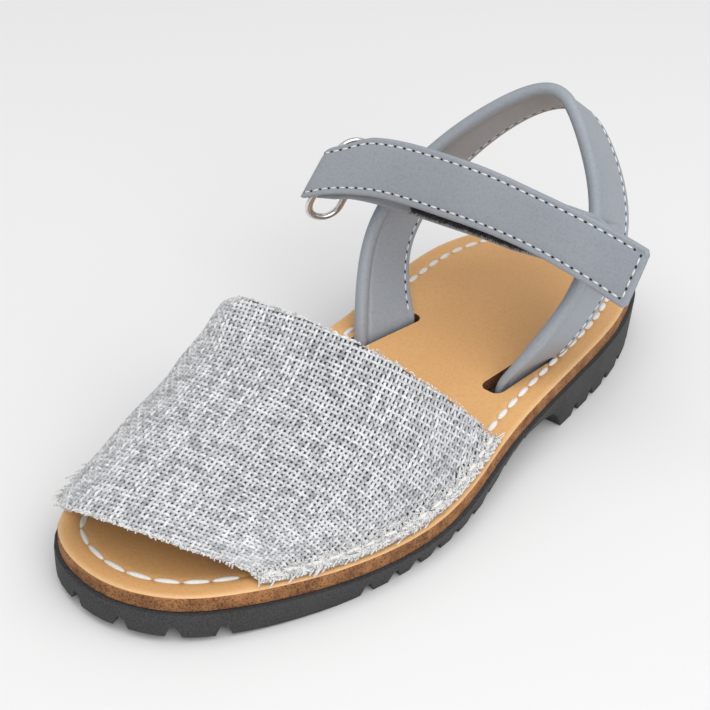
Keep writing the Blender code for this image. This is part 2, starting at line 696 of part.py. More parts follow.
for k in range(len(oval)):
    p = np.array(oval[k])
    way = np.array(oval[(k + 1) % len(oval)]) - np.array(oval[k - 1])
    way /= np.linalg.norm(way)
    out = np.array([way[1], -way[0]])
    loop = []
    for j in range(10):
        a = 2 * math.pi * j / 10
        flat = p + out * math.cos(a) * RING_WIRE / 2
        depth = math.sin(a) * RING_WIRE / 2
        plan = ring_middle + across_way * flat[0] + np.array([-across_way[1], across_way[0]]) * depth
        loop.append(plan.tolist() + [flat[1]])
    ring_rings.append(loop)
ring_x = ring_middle[0]
placed = []
for loop in ring_rings:
    points = []
    for x, y, w in loop:
        level = strap_place(ring_x, y, w - ring_drop)
        points.append((level[0] + x - ring_x, level[1], level[2]))
    placed.append(points)
ring = rings_solid("ring", placed, steel, capped=False)

# Keeper: leather folded round the ring's back bar, both tails on the outside of the inner leg
tail = np.array(KEEPER_TAIL) * LENGTH
loop_radius = RING_WIRE / 2 + KEEPER_ROOM + KEEPER_LEATHER / 2
enter = (tail[-1] - bar_back) / np.linalg.norm(tail[-1] - bar_back)
base_angle = math.atan2(enter[1], enter[0])
spread = math.radians(52)
wrap = [bar_back + loop_radius * np.array([math.cos(a), math.sin(a)])
        for a in np.linspace(base_angle - spread, base_angle + spread - 2 * math.pi, 13)]
apart = (KEEPER_LEATHER + TAILS_APART) / 2
tail_way = np.gradient(tail, axis=0)
tail_way /= np.linalg.norm(tail_way, axis=1)[:, None]
tail_side = np.column_stack([-tail_way[:, 1], tail_way[:, 0]])
near_tail = tail + tail_side * apart
far_tail = tail - tail_side * apart
if np.linalg.norm(near_tail[-1] - wrap[0]) > np.linalg.norm(far_tail[-1] - wrap[0]):
    near_tail, far_tail = far_tail, near_tail
keeper_line = np.vstack([ease(near_tail, 3), wrap, ease(far_tail[::-1], 3)])
ring_loop = band("ring_loop", keeper_line, KEEPER_LEATHER, KEEPER_WIDTH, grey_leather)

# The strap's free end reaches further out than the ring does, so the foot's middle line moves in
for obj in bpy.data.objects:
    for vertex in obj.data.vertices:
        vertex.co.x += FOOT_MIDDLE_X
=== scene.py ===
# %% [markdown]
# # A woven avarca sandal
#
# An avarca is a flat sandal with a leather footbed, a vamp over the toes and a strap behind the
# heel. This one is a child's left shoe. Its vamp is woven cloth sewn down at both sides, and an
# instep strap folds back through a metal ring and closes with a touch fastener.
#
# The lesson builds each visible piece around a frame of plain solids, in metres, with the toe
# towards -Y, the heel towards +Y and the outer side of the foot towards +X.

# %% Load the frame
import math

import bmesh
import bpy
import numpy as np
from mathutils import Matrix, Vector


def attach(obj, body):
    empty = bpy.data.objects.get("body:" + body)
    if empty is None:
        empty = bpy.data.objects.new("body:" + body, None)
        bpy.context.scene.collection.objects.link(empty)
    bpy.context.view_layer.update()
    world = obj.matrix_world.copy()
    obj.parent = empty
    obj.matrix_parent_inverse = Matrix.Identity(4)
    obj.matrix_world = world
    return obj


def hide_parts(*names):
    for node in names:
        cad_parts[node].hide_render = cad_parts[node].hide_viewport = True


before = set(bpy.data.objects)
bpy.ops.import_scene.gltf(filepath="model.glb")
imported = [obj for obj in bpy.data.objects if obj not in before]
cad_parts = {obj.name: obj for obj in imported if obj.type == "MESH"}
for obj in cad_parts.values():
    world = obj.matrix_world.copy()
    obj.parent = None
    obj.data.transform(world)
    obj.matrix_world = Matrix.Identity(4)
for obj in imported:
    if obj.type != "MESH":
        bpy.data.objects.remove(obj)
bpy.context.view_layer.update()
print("frame nodes:", sorted(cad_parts))

# %% [markdown]
# ## Sizes
#
# A shoe is measured from its footbed. Every size below is a real one in metres, or a share of the
# footbed's length, width or heel height, so that the leather, cloth and straps stay in proportion.

# %% Main sizes
LENGTH = 0.180
BALL_WIDTH = 0.068
HEEL_SEAT = 0.0152
MIDDLE_X = -0.0027
GAP = 0.0003
INSOLE_THICKNESS = 0.0035
DISH = 0.0005
CLOTH = 0.0016
FLANGE = 0.0036
STRAP_LEATHER = 0.0017
STRAP_WIDTH = 0.0138
HEEL_WEB = 0.0018
ROLL_RADIUS = 0.0016
FRONT = -LENGTH / 2
MERGE = 0.00001
rng = np.random.default_rng(7)

# %% Rows of the shoe's lines
# Footbed outline, across as a share of the ball width and along as a share of the length
OUTLINE = [(-0.035, 0.000), (0.205, 0.033), (0.437, 0.170), (0.540, 0.341), (0.474, 0.541),
           (0.382, 0.838), (0.232, 0.957), (-0.010, 1.000), (-0.250, 0.957), (-0.402, 0.836),
           (-0.371, 0.552), (-0.462, 0.366), (-0.430, 0.179), (-0.285, 0.034)]
# Height of the footbed, along as a share of the length and up as a share of the heel seat
FOOTBED = [(0.00, 0.717), (0.08, 0.680), (0.20, 0.600), (0.31, 0.565), (0.40, 0.640), (0.50, 0.795),
           (0.60, 0.905), (0.70, 0.970), (0.83, 1.000), (1.00, 1.040)]
# Vamp at its toe opening, middle and back edge: rise, lean, crest, inner and outer fullness, and
# the places of the inner and the outer foot
VAMP = [(0.715, 0.061, -0.35, 2.3, 2.0, 0.058, 0.111), (1.450, 0.057, -0.42, 2.2, 2.0, 0.264, 0.291),
        (1.990, 0.131, -0.50, 2.7, 2.25, 0.448, 0.492)]
# Heel strap: rolled edge x, y, z and stitched edge x, y, z, from the inner slot to the outer one
HEEL_STRAP = [
    (-0.0874, 0.0575, 0.0805, -0.0667, 0.1472, 0.0744), (-0.1395, 0.1460, 0.1868, -0.1211, 0.2078, 0.1450),
    (-0.1224, 0.2425, 0.2689, -0.1239, 0.3100, 0.2156), (-0.0646, 0.3100, 0.3335, -0.0722, 0.3850, 0.2861),
    (0.0011, 0.3382, 0.3665, 0.0011, 0.4056, 0.3194), (0.0646, 0.3100, 0.3376, 0.0722, 0.3850, 0.2861),
    (0.1311, 0.2524, 0.2672, 0.1422, 0.3211, 0.2111), (0.1577, 0.1661, 0.1825, 0.1572, 0.2306, 0.1356),
    (0.1144, 0.0877, 0.0741, 0.1256, 0.1844, 0.0639)]
# Instep strap: the back layer's line seen from above, then the strap's height and width along x
BACK_LAYER = [(0.1564, 0.278), (0.1584, 0.247), (0.1640, 0.217), (0.1560, 0.187), (0.122, 0.167),
              (0.020, 0.160), (-0.120, 0.156), (-0.200, 0.155), (-0.2115, 0.155)]
STRAP_HEIGHT = [(-0.235, 0.233, 1.01), (-0.140, 0.272, 1.02), (0.000, 0.2835, 1.02),
                (0.110, 0.2805, 0.955), (0.200, 0.2710, 0.99), (0.2665, 0.260, 1.01)]


# %% Curves
def catmull(points, each, closed=False):
    """Points along a centripetal Catmull-Rom curve through the given ones."""
    pts = np.array(points, float)
    if closed:
        pts = np.vstack([pts[-1:], pts, pts[:2]])
    else:
        pts = np.vstack([2 * pts[0] - pts[1], pts, 2 * pts[-1] - pts[-2]])
    out = []
    for p0, p1, p2, p3 in zip(pts[:-3], pts[1:-2], pts[2:-1], pts[3:]):
        t1 = max(np.linalg.norm(p1 - p0), 1e-9) ** 0.5
        t2 = t1 + max(np.linalg.norm(p2 - p1), 1e-9) ** 0.5
        t3 = t2 + max(np.linalg.norm(p3 - p2), 1e-9) ** 0.5
        for t in np.linspace(t1, t2, each, endpoint=False):
            a1 = (t1 - t) / t1 * p0 + t / t1 * p1
            a2 = (t2 - t) / (t2 - t1) * p1 + (t - t1) / (t2 - t1) * p2
            a3 = (t3 - t) / (t3 - t2) * p2 + (t - t2) / (t3 - t2) * p3
            b1 = (t2 - t) / t2 * a1 + t / t2 * a2
            b2 = (t3 - t) / (t3 - t1) * a2 + (t - t1) / (t3 - t1) * a3
            out.append((t2 - t) / (t2 - t1) * b1 + (t - t1) / (t2 - t1) * b2)
    if not closed:
        out.append(pts[-2])
    return np.array(out)


def spline(rows, count):
    """Points along a natural cubic curve through evenly spaced rows."""
    pts = np.array(rows, float)
    n = len(pts)
    grid = np.zeros((n, n))
    right = np.zeros_like(pts)
    grid[0, 0] = grid[-1, -1] = 1.0
    for k in range(1, n - 1):
        grid[k, k - 1:k + 2] = (1.0, 4.0, 1.0)
        right[k] = 6.0 * (pts[k - 1] - 2.0 * pts[k] + pts[k + 1])
    bend = np.linalg.solve(grid, right)
    out = []
    for t in np.linspace(0, n - 1, count):
        k = min(int(t), n - 2)
        a = k + 1 - t
        b = t - k
        out.append(bend[k] * a ** 3 / 6 + bend[k + 1] * b ** 3 / 6
                   + (pts[k] - bend[k] / 6) * a + (pts[k + 1] - bend[k + 1] / 6) * b)
    return np.array(out)


def lengths(line):
    """Distance along a line at each of its points."""
    return np.concatenate([[0.0], np.cumsum(np.linalg.norm(np.diff(line, axis=0), axis=1))])


def at_run(line, run, at):
    """Points at some distances along a line, whose own points lie at the distances in run."""
    return np.column_stack([np.interp(at, run, line[:, k]) for k in range(line.shape[1])])


def even(line, step, closed=False):
    """The same line with its points at an even distance."""
    line = np.asarray(line, float)
    if closed:
        line = np.vstack([line, line[:1]])
    run = lengths(line)
    count = max(int(round(run[-1] / step)), 2)
    at = np.linspace(0, run[-1], count + 1)
    return at_run(line, run, at[:-1] if closed else at)


def ease(line, times, held=1):
    """Draw the points of a line towards their neighbours, all but those held at each end."""
    n = len(line)
    for _ in range(times):
        beside = line[held - 1:n - held - 1] + line[held + 1:n - held + 1]
        line[held:n - held] = line[held:n - held] * 0.5 + beside * 0.25


def unit(rows):
    """The same directions with length 1."""
    return rows / np.linalg.norm(rows, axis=-1, keepdims=True)


def sides_of(line):
    """Direction square to a line seen from above, at each of its points."""
    way = unit(np.gradient(line, axis=0))
    return np.column_stack([-way[:, 1], way[:, 0]])


def clamp(value, low=0.0, high=1.0):
    return min(max(value, low), high)


def onset(value, start, over):
    """0 up to a start, then rising to 1 over a length."""
    return clamp((value - start) / over)


# %% Footbed outline and height
outline = catmull([(a * BALL_WIDTH, FRONT + u * LENGTH) for a, u in OUTLINE], 24, True)
outline[:, 1] = np.clip(outline[:, 1], FRONT, FRONT + LENGTH)
footbed_rows = catmull(FOOTBED, 8)


def footbed(y):
    """Height of the footbed's top at y."""
    return np.interp((y - FRONT) / LENGTH, footbed_rows[:, 0], footbed_rows[:, 1]) * HEEL_SEAT


def split_sides(ring):
    """Outer and inner half of the outline, each running from the toe to the heel."""
    ring = np.roll(ring, -int(np.argmin(ring[:, 1])), axis=0)
    back = int(np.argmax(ring[:, 1]))
    return ring[:back + 1], np.vstack([ring[back:], ring[:1]])[::-1]


OUTER_LINE, INNER_LINE = split_sides(outline)


def side_x(y, side):
    """x of the outline's outer (1) or inner (-1) side at y."""
    line = OUTER_LINE if side > 0 else INNER_LINE
    return np.interp(y, line[:, 1], line[:, 0])


EDGE_STEP = 0.0017
edge_ring = even(outline, EDGE_STEP, True)
ahead = unit(np.roll(edge_ring, -1, axis=0) - np.roll(edge_ring, 1, axis=0))
edge_out = np.column_stack([ahead[:, 1], -ahead[:, 0]])
if ((edge_ring - edge_ring.mean(axis=0)) * edge_out).sum() < 0:
    edge_out = -edge_out
print("outline points:", len(edge_ring), "perimeter mm:", round(lengths(edge_ring)[-1] * 1000, 1))

# %% [markdown]
# ## Helpers for meshes and node trees
#
# Most pieces here are swept: a section travels along a line. Their points are worked out with
# numpy and handed to Blender in one call, which is quick and gives the same mesh at each run.
# Node trees are easier to read when a small function adds a node and wires its inputs.


# %% Mesh and node helpers
def new_object(name, data):
    """Object in the scene for a mesh, a light or a camera."""
    obj = bpy.data.objects.new(name, data)
    bpy.context.scene.collection.objects.link(obj)
    return obj


def in_frame(points):
    """Points moved from the shoe's middle line to the frame's origin."""
    points = np.array(points, float)
    points[:, 0] += MIDDLE_X
    return points.tolist()


def piece(name, verts, faces, mats, face_mats=None, smooth=True):
    """New object from points and faces, standing in the shoe's own frame."""
    mesh = bpy.data.meshes.new(name)
    mesh.from_pydata(in_frame(verts), [], [tuple(map(int, f)) for f in faces])
    for mat in mats:
        mesh.materials.append(mat)
    if face_mats is not None:
        mesh.polygons.foreach_set("material_index", list(face_mats))
    mesh.polygons.foreach_set("use_smooth", [smooth] * len(mesh.polygons))
    mesh.update()
    return new_object(name, mesh)


def tube_faces(rows, count, closed=False):
    """Faces between closed sections of count points, and from the last to the first if closed."""
    faces = []
    for k in range(rows if closed else rows - 1):
        m = (k + 1) % rows
        for j in range(count):
            n = (j + 1) % count
            faces.append((k * count + j, k * count + n, m * count + n, m * count + j))
    return faces


def settle(obj):
    """Turn what an object's modifiers make into its own plain mesh."""
    graph = bpy.context.evaluated_depsgraph_get()
    done = bpy.data.meshes.new_from_object(obj.evaluated_get(graph))
    obj.modifiers.clear()
    obj.data = done
    return obj


def turn_out(obj):
    """Merge doubles and make every face point outwards."""
    work = bmesh.new()
    work.from_mesh(obj.data)
    bmesh.ops.remove_doubles(work, verts=work.verts, dist=MERGE)
    bmesh.ops.recalc_face_normals(work, faces=work.faces)
    work.to_mesh(obj.data)
    work.free()
    return obj


def dress(obj, slot, *nodes):
    """Hang a finished piece on the root, hide the solids it stands for and print its triangles. Its slot is
    not used.
    """
    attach(obj, "root")
    if nodes:
        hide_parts(*nodes)
    obj.data.calc_loop_triangles()
    print(f"{obj.name}: {len(obj.data.loop_triangles)} triangles")


def adder(tree):
    """A function that adds a node to the tree, sets it up and fills or wires its inputs."""
    def add(kind, inputs=None, **settings):
        node = tree.nodes.new(kind)
        for key, value in settings.items():
            setattr(node, key, value)
        for key, value in (inputs or {}).items():
            if isinstance(value, bpy.types.NodeSocket):
                tree.links.new(value, node.inputs[key])
            else:
                node.inputs[key].default_value = value
        return node
    return add


def group(name, kind, inputs, outputs):
    """New node group with named sockets. Inputs are (name, type, value), outputs (name, type)."""
    tree = bpy.data.node_groups.new(name, kind)
    for label, form, value in inputs:
        socket = tree.interface.new_socket(name=label, in_out="INPUT", socket_type="NodeSocket" + form)
        if value is not None:
            socket.default_value = value
    for label, form in outputs:
        tree.interface.new_socket(name=label, in_out="OUTPUT", socket_type="NodeSocket" + form)
    return tree, tree.nodes.new("NodeGroupInput").outputs, tree.nodes.new("NodeGroupOutput").inputs


# %% [markdown]
# ## Shared surface effects
#
# Leather, yarn and rubber each show two things close up: colour that wanders and a surface that
# isn't smooth. A shader group makes both from noise in real millimetres, and each material places
# it with its own colours and sizes. A group only gives a colour and a height, and the Principled
# shader stays in the material, so that the finish can be read and exported.


# %% Shader groups
def finish_group(name, detail, fleck_low, fleck_high):
    """Group that mixes two colours by a noise and gives a height from it."""
    tree, ins, outs = group(name, "ShaderNodeTree",
                            [("Light", "Color", None), ("Dark", "Color", None), ("Scale", "Float", 900.0),
                             ("Drift", "Float", 40.0), ("Drift Amount", "Float", 0.3)],
                            [("Color", "Color"), ("Height", "Float")])
    add = adder(tree)
    place = add("ShaderNodeTexCoord").outputs["Object"]
    fine = add("ShaderNodeTexNoise",
               {"Vector": place, "Scale": ins["Scale"], "Detail": detail, "Roughness": 0.62})
    wide = add("ShaderNodeTexNoise", {"Vector": place, "Scale": ins["Drift"], "Detail": 3.0})
    fleck = add("ShaderNodeMapRange",
                {"Value": fine.outputs["Fac"], "From Min": fleck_low, "From Max": fleck_high})
    drift = add("ShaderNodeMapRange", {"Value": wide.outputs["Fac"], "From Min": 0.35, "From Max": 0.65})
    amount = add("ShaderNodeMath", {0: drift.outputs[0], 1: ins["Drift Amount"]}, operation="MULTIPLY")
    both = add("ShaderNodeMath", {0: fleck.outputs[0], 1: amount.outputs[0]},
               operation="ADD", use_clamp=True)
    mixed = add("ShaderNodeMix", {"Factor": both.outputs[0], 6: ins["Light"], 7: ins["Dark"]},
                data_type="RGBA")
    tree.links.new(mixed.outputs[2], outs["Color"])
    tree.links.new(fine.outputs["Fac"], outs["Height"])
    return tree


GRAIN = finish_group("leather grain", 6.0, 0.45, 0.95)
FLECK = finish_group("yarn fleck", 4.0, 0.50, 0.66)
PITTED = finish_group("rubber pitting", 5.0, 0.42, 0.60)
print("shader groups:", GRAIN.name, FLECK.name, PITTED.name)


# %% Materials from the groups
def finish(name, effect, light, dark, scale, drift, amount, bump, depth, roughness, tint=None, **sockets):
    """Material with a shared effect in its colour and bump. tint is an attribute and its colour."""
    mat = bpy.data.materials.new(name)
    mat.use_nodes = True
    tree = mat.node_tree
    shader = tree.nodes["Principled BSDF"]
    add = adder(tree)
    look = add("ShaderNodeGroup", node_tree=effect)
    for label, value in (("Light", (*light, 1)), ("Dark", (*dark, 1)), ("Scale", scale), ("Drift", drift),
                         ("Drift Amount", amount)):
        look.inputs[label].default_value = value
    colour = look.outputs["Color"]
    if tint:
        label, shade = tint
        mask = add("ShaderNodeAttribute", attribute_name=label)
        mixed = add("ShaderNodeMix", {"Factor": mask.outputs["Fac"], 6: colour, 7: (*shade, 1)},
                    data_type="RGBA")
        colour = mixed.outputs[2]
    tree.links.new(colour, shader.inputs["Base Color"])
    relief = add("ShaderNodeBump", {"Height": look.outputs["Height"], "Strength": bump, "Distance": depth})
    tree.links.new(relief.outputs[0], shader.inputs["Normal"])
    shader.inputs["Roughness"].default_value = roughness
    for label, value in sockets.items():
        shader.inputs[label.replace("_", " ")].default_value = value
    return mat


# Each line gives the light and the dark colour, then the scales of grain and drift, the amount of
# drift, the bump's strength and depth, and the roughness
rubber = finish("black rubber", PITTED, (0.020, 0.020, 0.021), (0.052, 0.052, 0.054),
                2600, 90, 0.25, 0.9, 0.0004, 0.72)
tan = finish("tan footbed leather", GRAIN, (0.790, 0.445, 0.180), (0.640, 0.325, 0.115),
             1500, 28, 0.35, 0.22, 0.0002, 0.50, tint=("rim", (0.78, 0.58, 0.35)))
raw_edge = finish("raw leather edge", FLECK, (0.440, 0.200, 0.072), (0.125, 0.048, 0.018),
                  2300, 260, 0.6, 0.9, 0.0005, 0.9)
slot_edge = finish("cut slot edge", FLECK, (0.230, 0.085, 0.030), (0.100, 0.036, 0.014),
                   1400, 300, 0.4, 0.8, 0.0004, 0.9)
grey = finish("blue grey leather", GRAIN, (0.322, 0.350, 0.388), (0.232, 0.255, 0.288),
              1700, 45, 0.30, 0.20, 0.0002, 0.46)
yarn = finish("flecked yarn", FLECK, (0.895, 0.902, 0.918), (0.490, 0.500, 0.520),
              2600, 500, 0.12, 0.5, 0.0003, 0.92, tint=("shade", (0.110, 0.113, 0.125)))
fray = finish("frayed yarn", FLECK, (0.800, 0.795, 0.780), (0.400, 0.400, 0.405),
              900, 300, 0.2, 0.4, 0.0002, 0.95)
# The backing's near-black top is painted shade that darkens the gaps between the yarns
gap_shade_backing = finish("cloth backing", FLECK, (0.060, 0.062, 0.066), (0.016, 0.017, 0.018),
                 1500, 300, 0.2, 0.5, 0.0003, 0.95)
lining_cloth = finish("lining cloth", FLECK, (0.430, 0.435, 0.445), (0.300, 0.305, 0.315),
                      1500, 300, 0.2, 0.5, 0.0003, 0.95)
white = finish("waxed white thread", GRAIN, (0.860, 0.850, 0.820), (0.640, 0.620, 0.580),
               2500, 400, 0.2, 0.4, 0.0002, 0.55)
pale = finish("pale machine thread", GRAIN, (0.780, 0.790, 0.800), (0.560, 0.570, 0.580),
              2500, 400, 0.2, 0.4, 0.0002, 0.6)
# Needle holes are near-black beads: painted shade inside each hole
hole_shade = finish("needle hole", GRAIN, (0.012, 0.012, 0.014), (0.020, 0.020, 0.022),
              900, 100, 0.1, 0.1, 0.0001, 0.9)
metal = finish("polished wire", GRAIN, (0.800, 0.795, 0.780), (0.640, 0.630, 0.610),
               500, 60, 0.2, 0.05, 0.0001, 0.22, Metallic=1.0)
fuzz = finish("touch fastener", FLECK, (0.030, 0.031, 0.034), (0.110, 0.112, 0.118),
              1600, 300, 0.2, 0.8, 0.0004, 0.95)
print("materials made:", len(bpy.data.materials))

# %% [markdown]
# ## Things sewn, laid or scattered
#
# Stitches, needle holes and fastener hooks are one small shape repeated along a line. Python works
# out where each sits and which way it points, and a Geometry Nodes tree puts a bead there. Yarn is
# a line with a thickness, so a second tree sweeps a round section along many lines at once. Both
# trees end in plain geometry with its material set.


# %% Geometry Nodes trees
def bead_tree(name, mat, sides, rings, seed):
    """Tree that stands a stretched bead on every point, along and up as the point says."""
    tree, ins, outs = group(name, "GeometryNodeTree",
                            [("Points", "Geometry", None), ("Length", "Float", 0.003),
                             ("Width", "Float", 0.0006), ("Height", "Float", 0.0005),
                             ("Vary", "Float", 0.08)], [("Beads", "Geometry")])
    add = adder(tree)
    points = add("GeometryNodeMeshToPoints", {"Mesh": ins["Points"]})
    along = add("GeometryNodeInputNamedAttribute", {"Name": "along"}, data_type="FLOAT_VECTOR")
    up = add("GeometryNodeInputNamedAttribute", {"Name": "up"}, data_type="FLOAT_VECTOR")
    first = add("FunctionNodeAlignRotationToVector", {"Vector": along.outputs[0]}, axis="X")
    turn = add("FunctionNodeAlignRotationToVector", {"Rotation": first.outputs[0], "Vector": up.outputs[0]},
               axis="Z", pivot_axis="X")
    low = add("ShaderNodeMath", {0: 1.0, 1: ins["Vary"]}, operation="SUBTRACT")
    high = add("ShaderNodeMath", {0: 1.0, 1: ins["Vary"]}, operation="ADD")
    vary = add("FunctionNodeRandomValue", {2: low.outputs[0], 3: high.outputs[0], "Seed": seed},
               data_type="FLOAT")
    longer = add("ShaderNodeMath", {0: ins["Length"], 1: vary.outputs[1]}, operation="MULTIPLY")
    size = add("ShaderNodeCombineXYZ", {0: longer.outputs[0], 1: ins["Width"], 2: ins["Height"]})
    bead = add("GeometryNodeMeshUVSphere", {"Segments": sides, "Rings": rings, "Radius": 0.5})
    put = add("GeometryNodeInstanceOnPoints",
              {"Points": points.outputs[0], "Instance": bead.outputs["Mesh"],
               "Rotation": turn.outputs[0], "Scale": size.outputs[0]})
    real = add("GeometryNodeRealizeInstances", {0: put.outputs[0]})
    soft = add("GeometryNodeSetShadeSmooth", {"Geometry": real.outputs[0]})
    done = add("GeometryNodeSetMaterial", {"Geometry": soft.outputs[0], "Material": mat})
    tree.links.new(done.outputs[0], outs["Beads"])
    return tree


def yarn_tree(name, mat, sides):
    """Tree that sweeps a round section along every line of a wire mesh."""
    tree, ins, outs = group(name, "GeometryNodeTree",
                            [("Lines", "Geometry", None), ("Radius", "Float", 0.0004)],
                            [("Yarn", "Geometry")])
    add = adder(tree)
    curve = add("GeometryNodeMeshToCurve", {"Mesh": ins["Lines"]})
    thick = add("GeometryNodeInputNamedAttribute", {"Name": "thick"}, data_type="FLOAT")
    sized = add("GeometryNodeSetCurveRadius", {"Curve": curve.outputs[0], "Radius": thick.outputs[0]})
    ring = add("GeometryNodeCurvePrimitiveCircle", {"Resolution": sides, "Radius": ins["Radius"]})
    tube = add("GeometryNodeCurveToMesh", {"Curve": sized.outputs[0], "Profile Curve": ring.outputs[0],
                                           "Fill Caps": True})
    soft = add("GeometryNodeSetShadeSmooth", {"Geometry": tube.outputs[0]})
    real = add("GeometryNodeRealizeInstances", {0: soft.outputs[0]})
    done = add("GeometryNodeSetMaterial", {"Geometry": real.outputs[0], "Material": mat})
    tree.links.new(done.outputs[0], outs["Yarn"])
    return tree


def run_tree(name, verts, edges, facts, tree, **sizes):
    """Object made by a tree from points or wire lines that carry named facts."""
    mesh = bpy.data.meshes.new(name)
    mesh.from_pydata(in_frame(verts), edges, [])
    for label, values in facts.items():
        values = np.asarray(values, float)
        form, key = ("FLOAT_VECTOR", "vector") if values.ndim == 2 else ("FLOAT", "value")
        mesh.attributes.new(label, form, "POINT").data.foreach_set(key, values.ravel())
    obj = new_object(name, mesh)
    step = obj.modifiers.new("make", "NODES")
    step.node_group = tree
    for item in tree.interface.items_tree:
        if item.in_out == "INPUT" and item.name in sizes:
            step[item.identifier] = sizes[item.name]
    return settle(obj)


def beads(name, rows, tree, length, width, height, vary=0.08):
    """Beads at rows of (point, direction along, direction up)."""
    rows = np.array(rows, float)
    return run_tree(name, rows[:, 0], [], {"along": rows[:, 1], "up": rows[:, 2]}, tree,
                    Length=length, Width=width, Height=height, Vary=vary)


def strands(name, lines, tree, radius, thick=None, shade=None):
    """Yarn along many lines, each with its own thickness and shade."""
    verts = np.vstack(lines)
    edges = []
    base = 0
    for line in lines:
        edges += [(base + k, base + k + 1) for k in range(len(line) - 1)]
        base += len(line)
    facts = {"thick": np.concatenate(thick) if thick else np.ones(len(verts)),
             "shade": np.concatenate(shade) if shade else np.zeros(len(verts))}
    return run_tree(name, verts, edges, facts, tree, Radius=radius)


# %% [markdown]
# ## Rubber outsole
#
# The sole is moulded rubber with a heel block, an arch and notches cut in from the side. Its solid
# already has that form, so the piece is a merged copy of it with softened edges. A bevel catches
# the light along each lug, which a sharp edge never does.

# %% Outsole
SOLE_BEVEL = 0.00035
BEVEL_FROM = math.radians(38)
sole = new_object("rubber_sole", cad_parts["outsole"].data.copy())
work = bmesh.new()
work.from_mesh(sole.data)
bmesh.ops.remove_doubles(work, verts=work.verts, dist=MERGE)
bmesh.ops.dissolve_limit(work, angle_limit=math.radians(0.6), verts=work.verts, edges=work.edges)
work.to_mesh(sole.data)
work.free()
soften = sole.modifiers.new("soft edges", "BEVEL")
soften.width = SOLE_BEVEL
soften.segments = 2
soften.limit_method = "ANGLE"
soften.angle_limit = BEVEL_FROM
settle(sole)
sole.data.materials.clear()
sole.data.materials.append(rubber)
sole.data.polygons.foreach_set("use_smooth", [True] * len(sole.data.polygons))
sole.data.set_sharp_from_angle(angle=math.radians(40))
dress(sole, "outsole_rubber", "outsole")

# %% [markdown]
# ## Leather footbed
#
# The footbed is one thick piece of vegetable-tanned leather: smooth on top, raw and fibrous at
# its cut side. The mesh is a set of rings that start under the piece, climb its side, turn over a
# rounded rim and run inwards, with close rings where the sewing line presses a groove.

# %% Footbed
STITCH_INSET = 0.0050
GROOVE_DEPTH = 0.00042
GROOVE_WIDTH = 0.0006
DISH_EASE = 0.006
SPINE_TOE = 0.034
SPINE_HEEL = 0.030
# Rings up the cut side and over the rim: inset, the face they are measured from, and the height
# above it. More rings cross the groove of the sewing line.
rim_rings = [(0.0, "low", 0.0), (-0.00006, "low", 0.0009), (0.00005, "low", 0.0019),
             (-0.00004, "low", 0.0027), (0.00012, "top", -0.00034), (0.00035, "top", -0.00012),
             (0.00075, "top", -0.00003), (0.0014, "top", 0.0)]
rim_rings += [(inset, "top", -GROOVE_DEPTH * math.exp(-((inset - STITCH_INSET) / GROOVE_WIDTH) ** 2))
              for inset in (0.0024, 0.0034, 0.0041, 0.0045, 0.0048, 0.0050, 0.0052, 0.0055, 0.0060,
                            0.0068, 0.0082)]


def bed_z(y, inset):
    """Top of the footbed, dished inside the sewing line."""
    return footbed(y) - DISH * np.clip((inset - STITCH_INSET) / DISH_EASE, 0, 1)


count = len(edge_ring)
rings = []
for inset, side, rise in rim_rings:
    xy = edge_ring - edge_out * inset
    level = footbed(xy[:, 1]) - INSOLE_THICKNESS if side == "low" else bed_z(xy[:, 1], inset)
    rings.append(np.column_stack([xy, level + rise]))
last_inset = rim_rings[-1][0]
last = edge_ring - edge_out * last_inset
spine_y = np.clip(last[:, 1], FRONT + SPINE_TOE, FRONT + LENGTH - SPINE_HEEL)
spine = np.column_stack([(side_x(spine_y, -1) + side_x(spine_y, 1)) / 2, spine_y])
for share in (0.12, 0.25, 0.4, 0.55, 0.7, 0.82, 0.9):
    xy = last + (spine - last) * share
    rings.append(np.column_stack([xy, bed_z(xy[:, 1], last_inset + share * 0.02)]))
under = [np.column_stack([xy, footbed(xy[:, 1]) - INSOLE_THICKNESS])
         for xy in (last + (spine - last) * 0.9, edge_ring - edge_out * 0.004)]
rings = under + rings
raw_bands = range(len(under) - 1, len(under) + 4)
face_mats = [int(k in raw_bands) for k in range(len(rings) - 1) for _ in range(count)]
bed = piece("leather_footbed", np.vstack(rings), tube_faces(len(rings), count),
            [tan, raw_edge, slot_edge], face_mats)
work = bmesh.new()
work.from_mesh(bed.data)
work.verts.ensure_lookup_table()
open_edges = [e for e in work.edges if len(e.link_faces) == 1]
low_loop = [e for e in open_edges if all(v.index < count for v in e.verts)]
high_loop = [e for e in open_edges if e not in low_loop]
for loop in (low_loop, high_loop):
    made = bmesh.ops.contextual_create(work, geom=loop)["faces"]
    bmesh.ops.triangulate(work, faces=made)
for face in work.faces:
    face.smooth = True
bmesh.ops.recalc_face_normals(work, faces=work.faces)
work.to_mesh(bed.data)
work.free()
print("footbed rings:", len(rings), "points round each:", count)

# %% [markdown]
# Each end of the heel strap goes down through a slot with round ends. A Boolean cuts it, and the
# tool carries a dark cut-edge material, darker than the footbed's outer cut side, which the cut
# faces take over.

# %% Slots
SLOT_WIDTH = 0.0044
SLOT_END_ROOM = 0.0014
OUTER_SLOT_EXTRA = 0.0014
TOOL_LEVELS = (0.004, 0.030)
RIM_AT = 0.0005
RIM_SPREAD = 0.0007
RIM_TINT = 0.4
strap_rows = np.array(HEEL_STRAP) * LENGTH


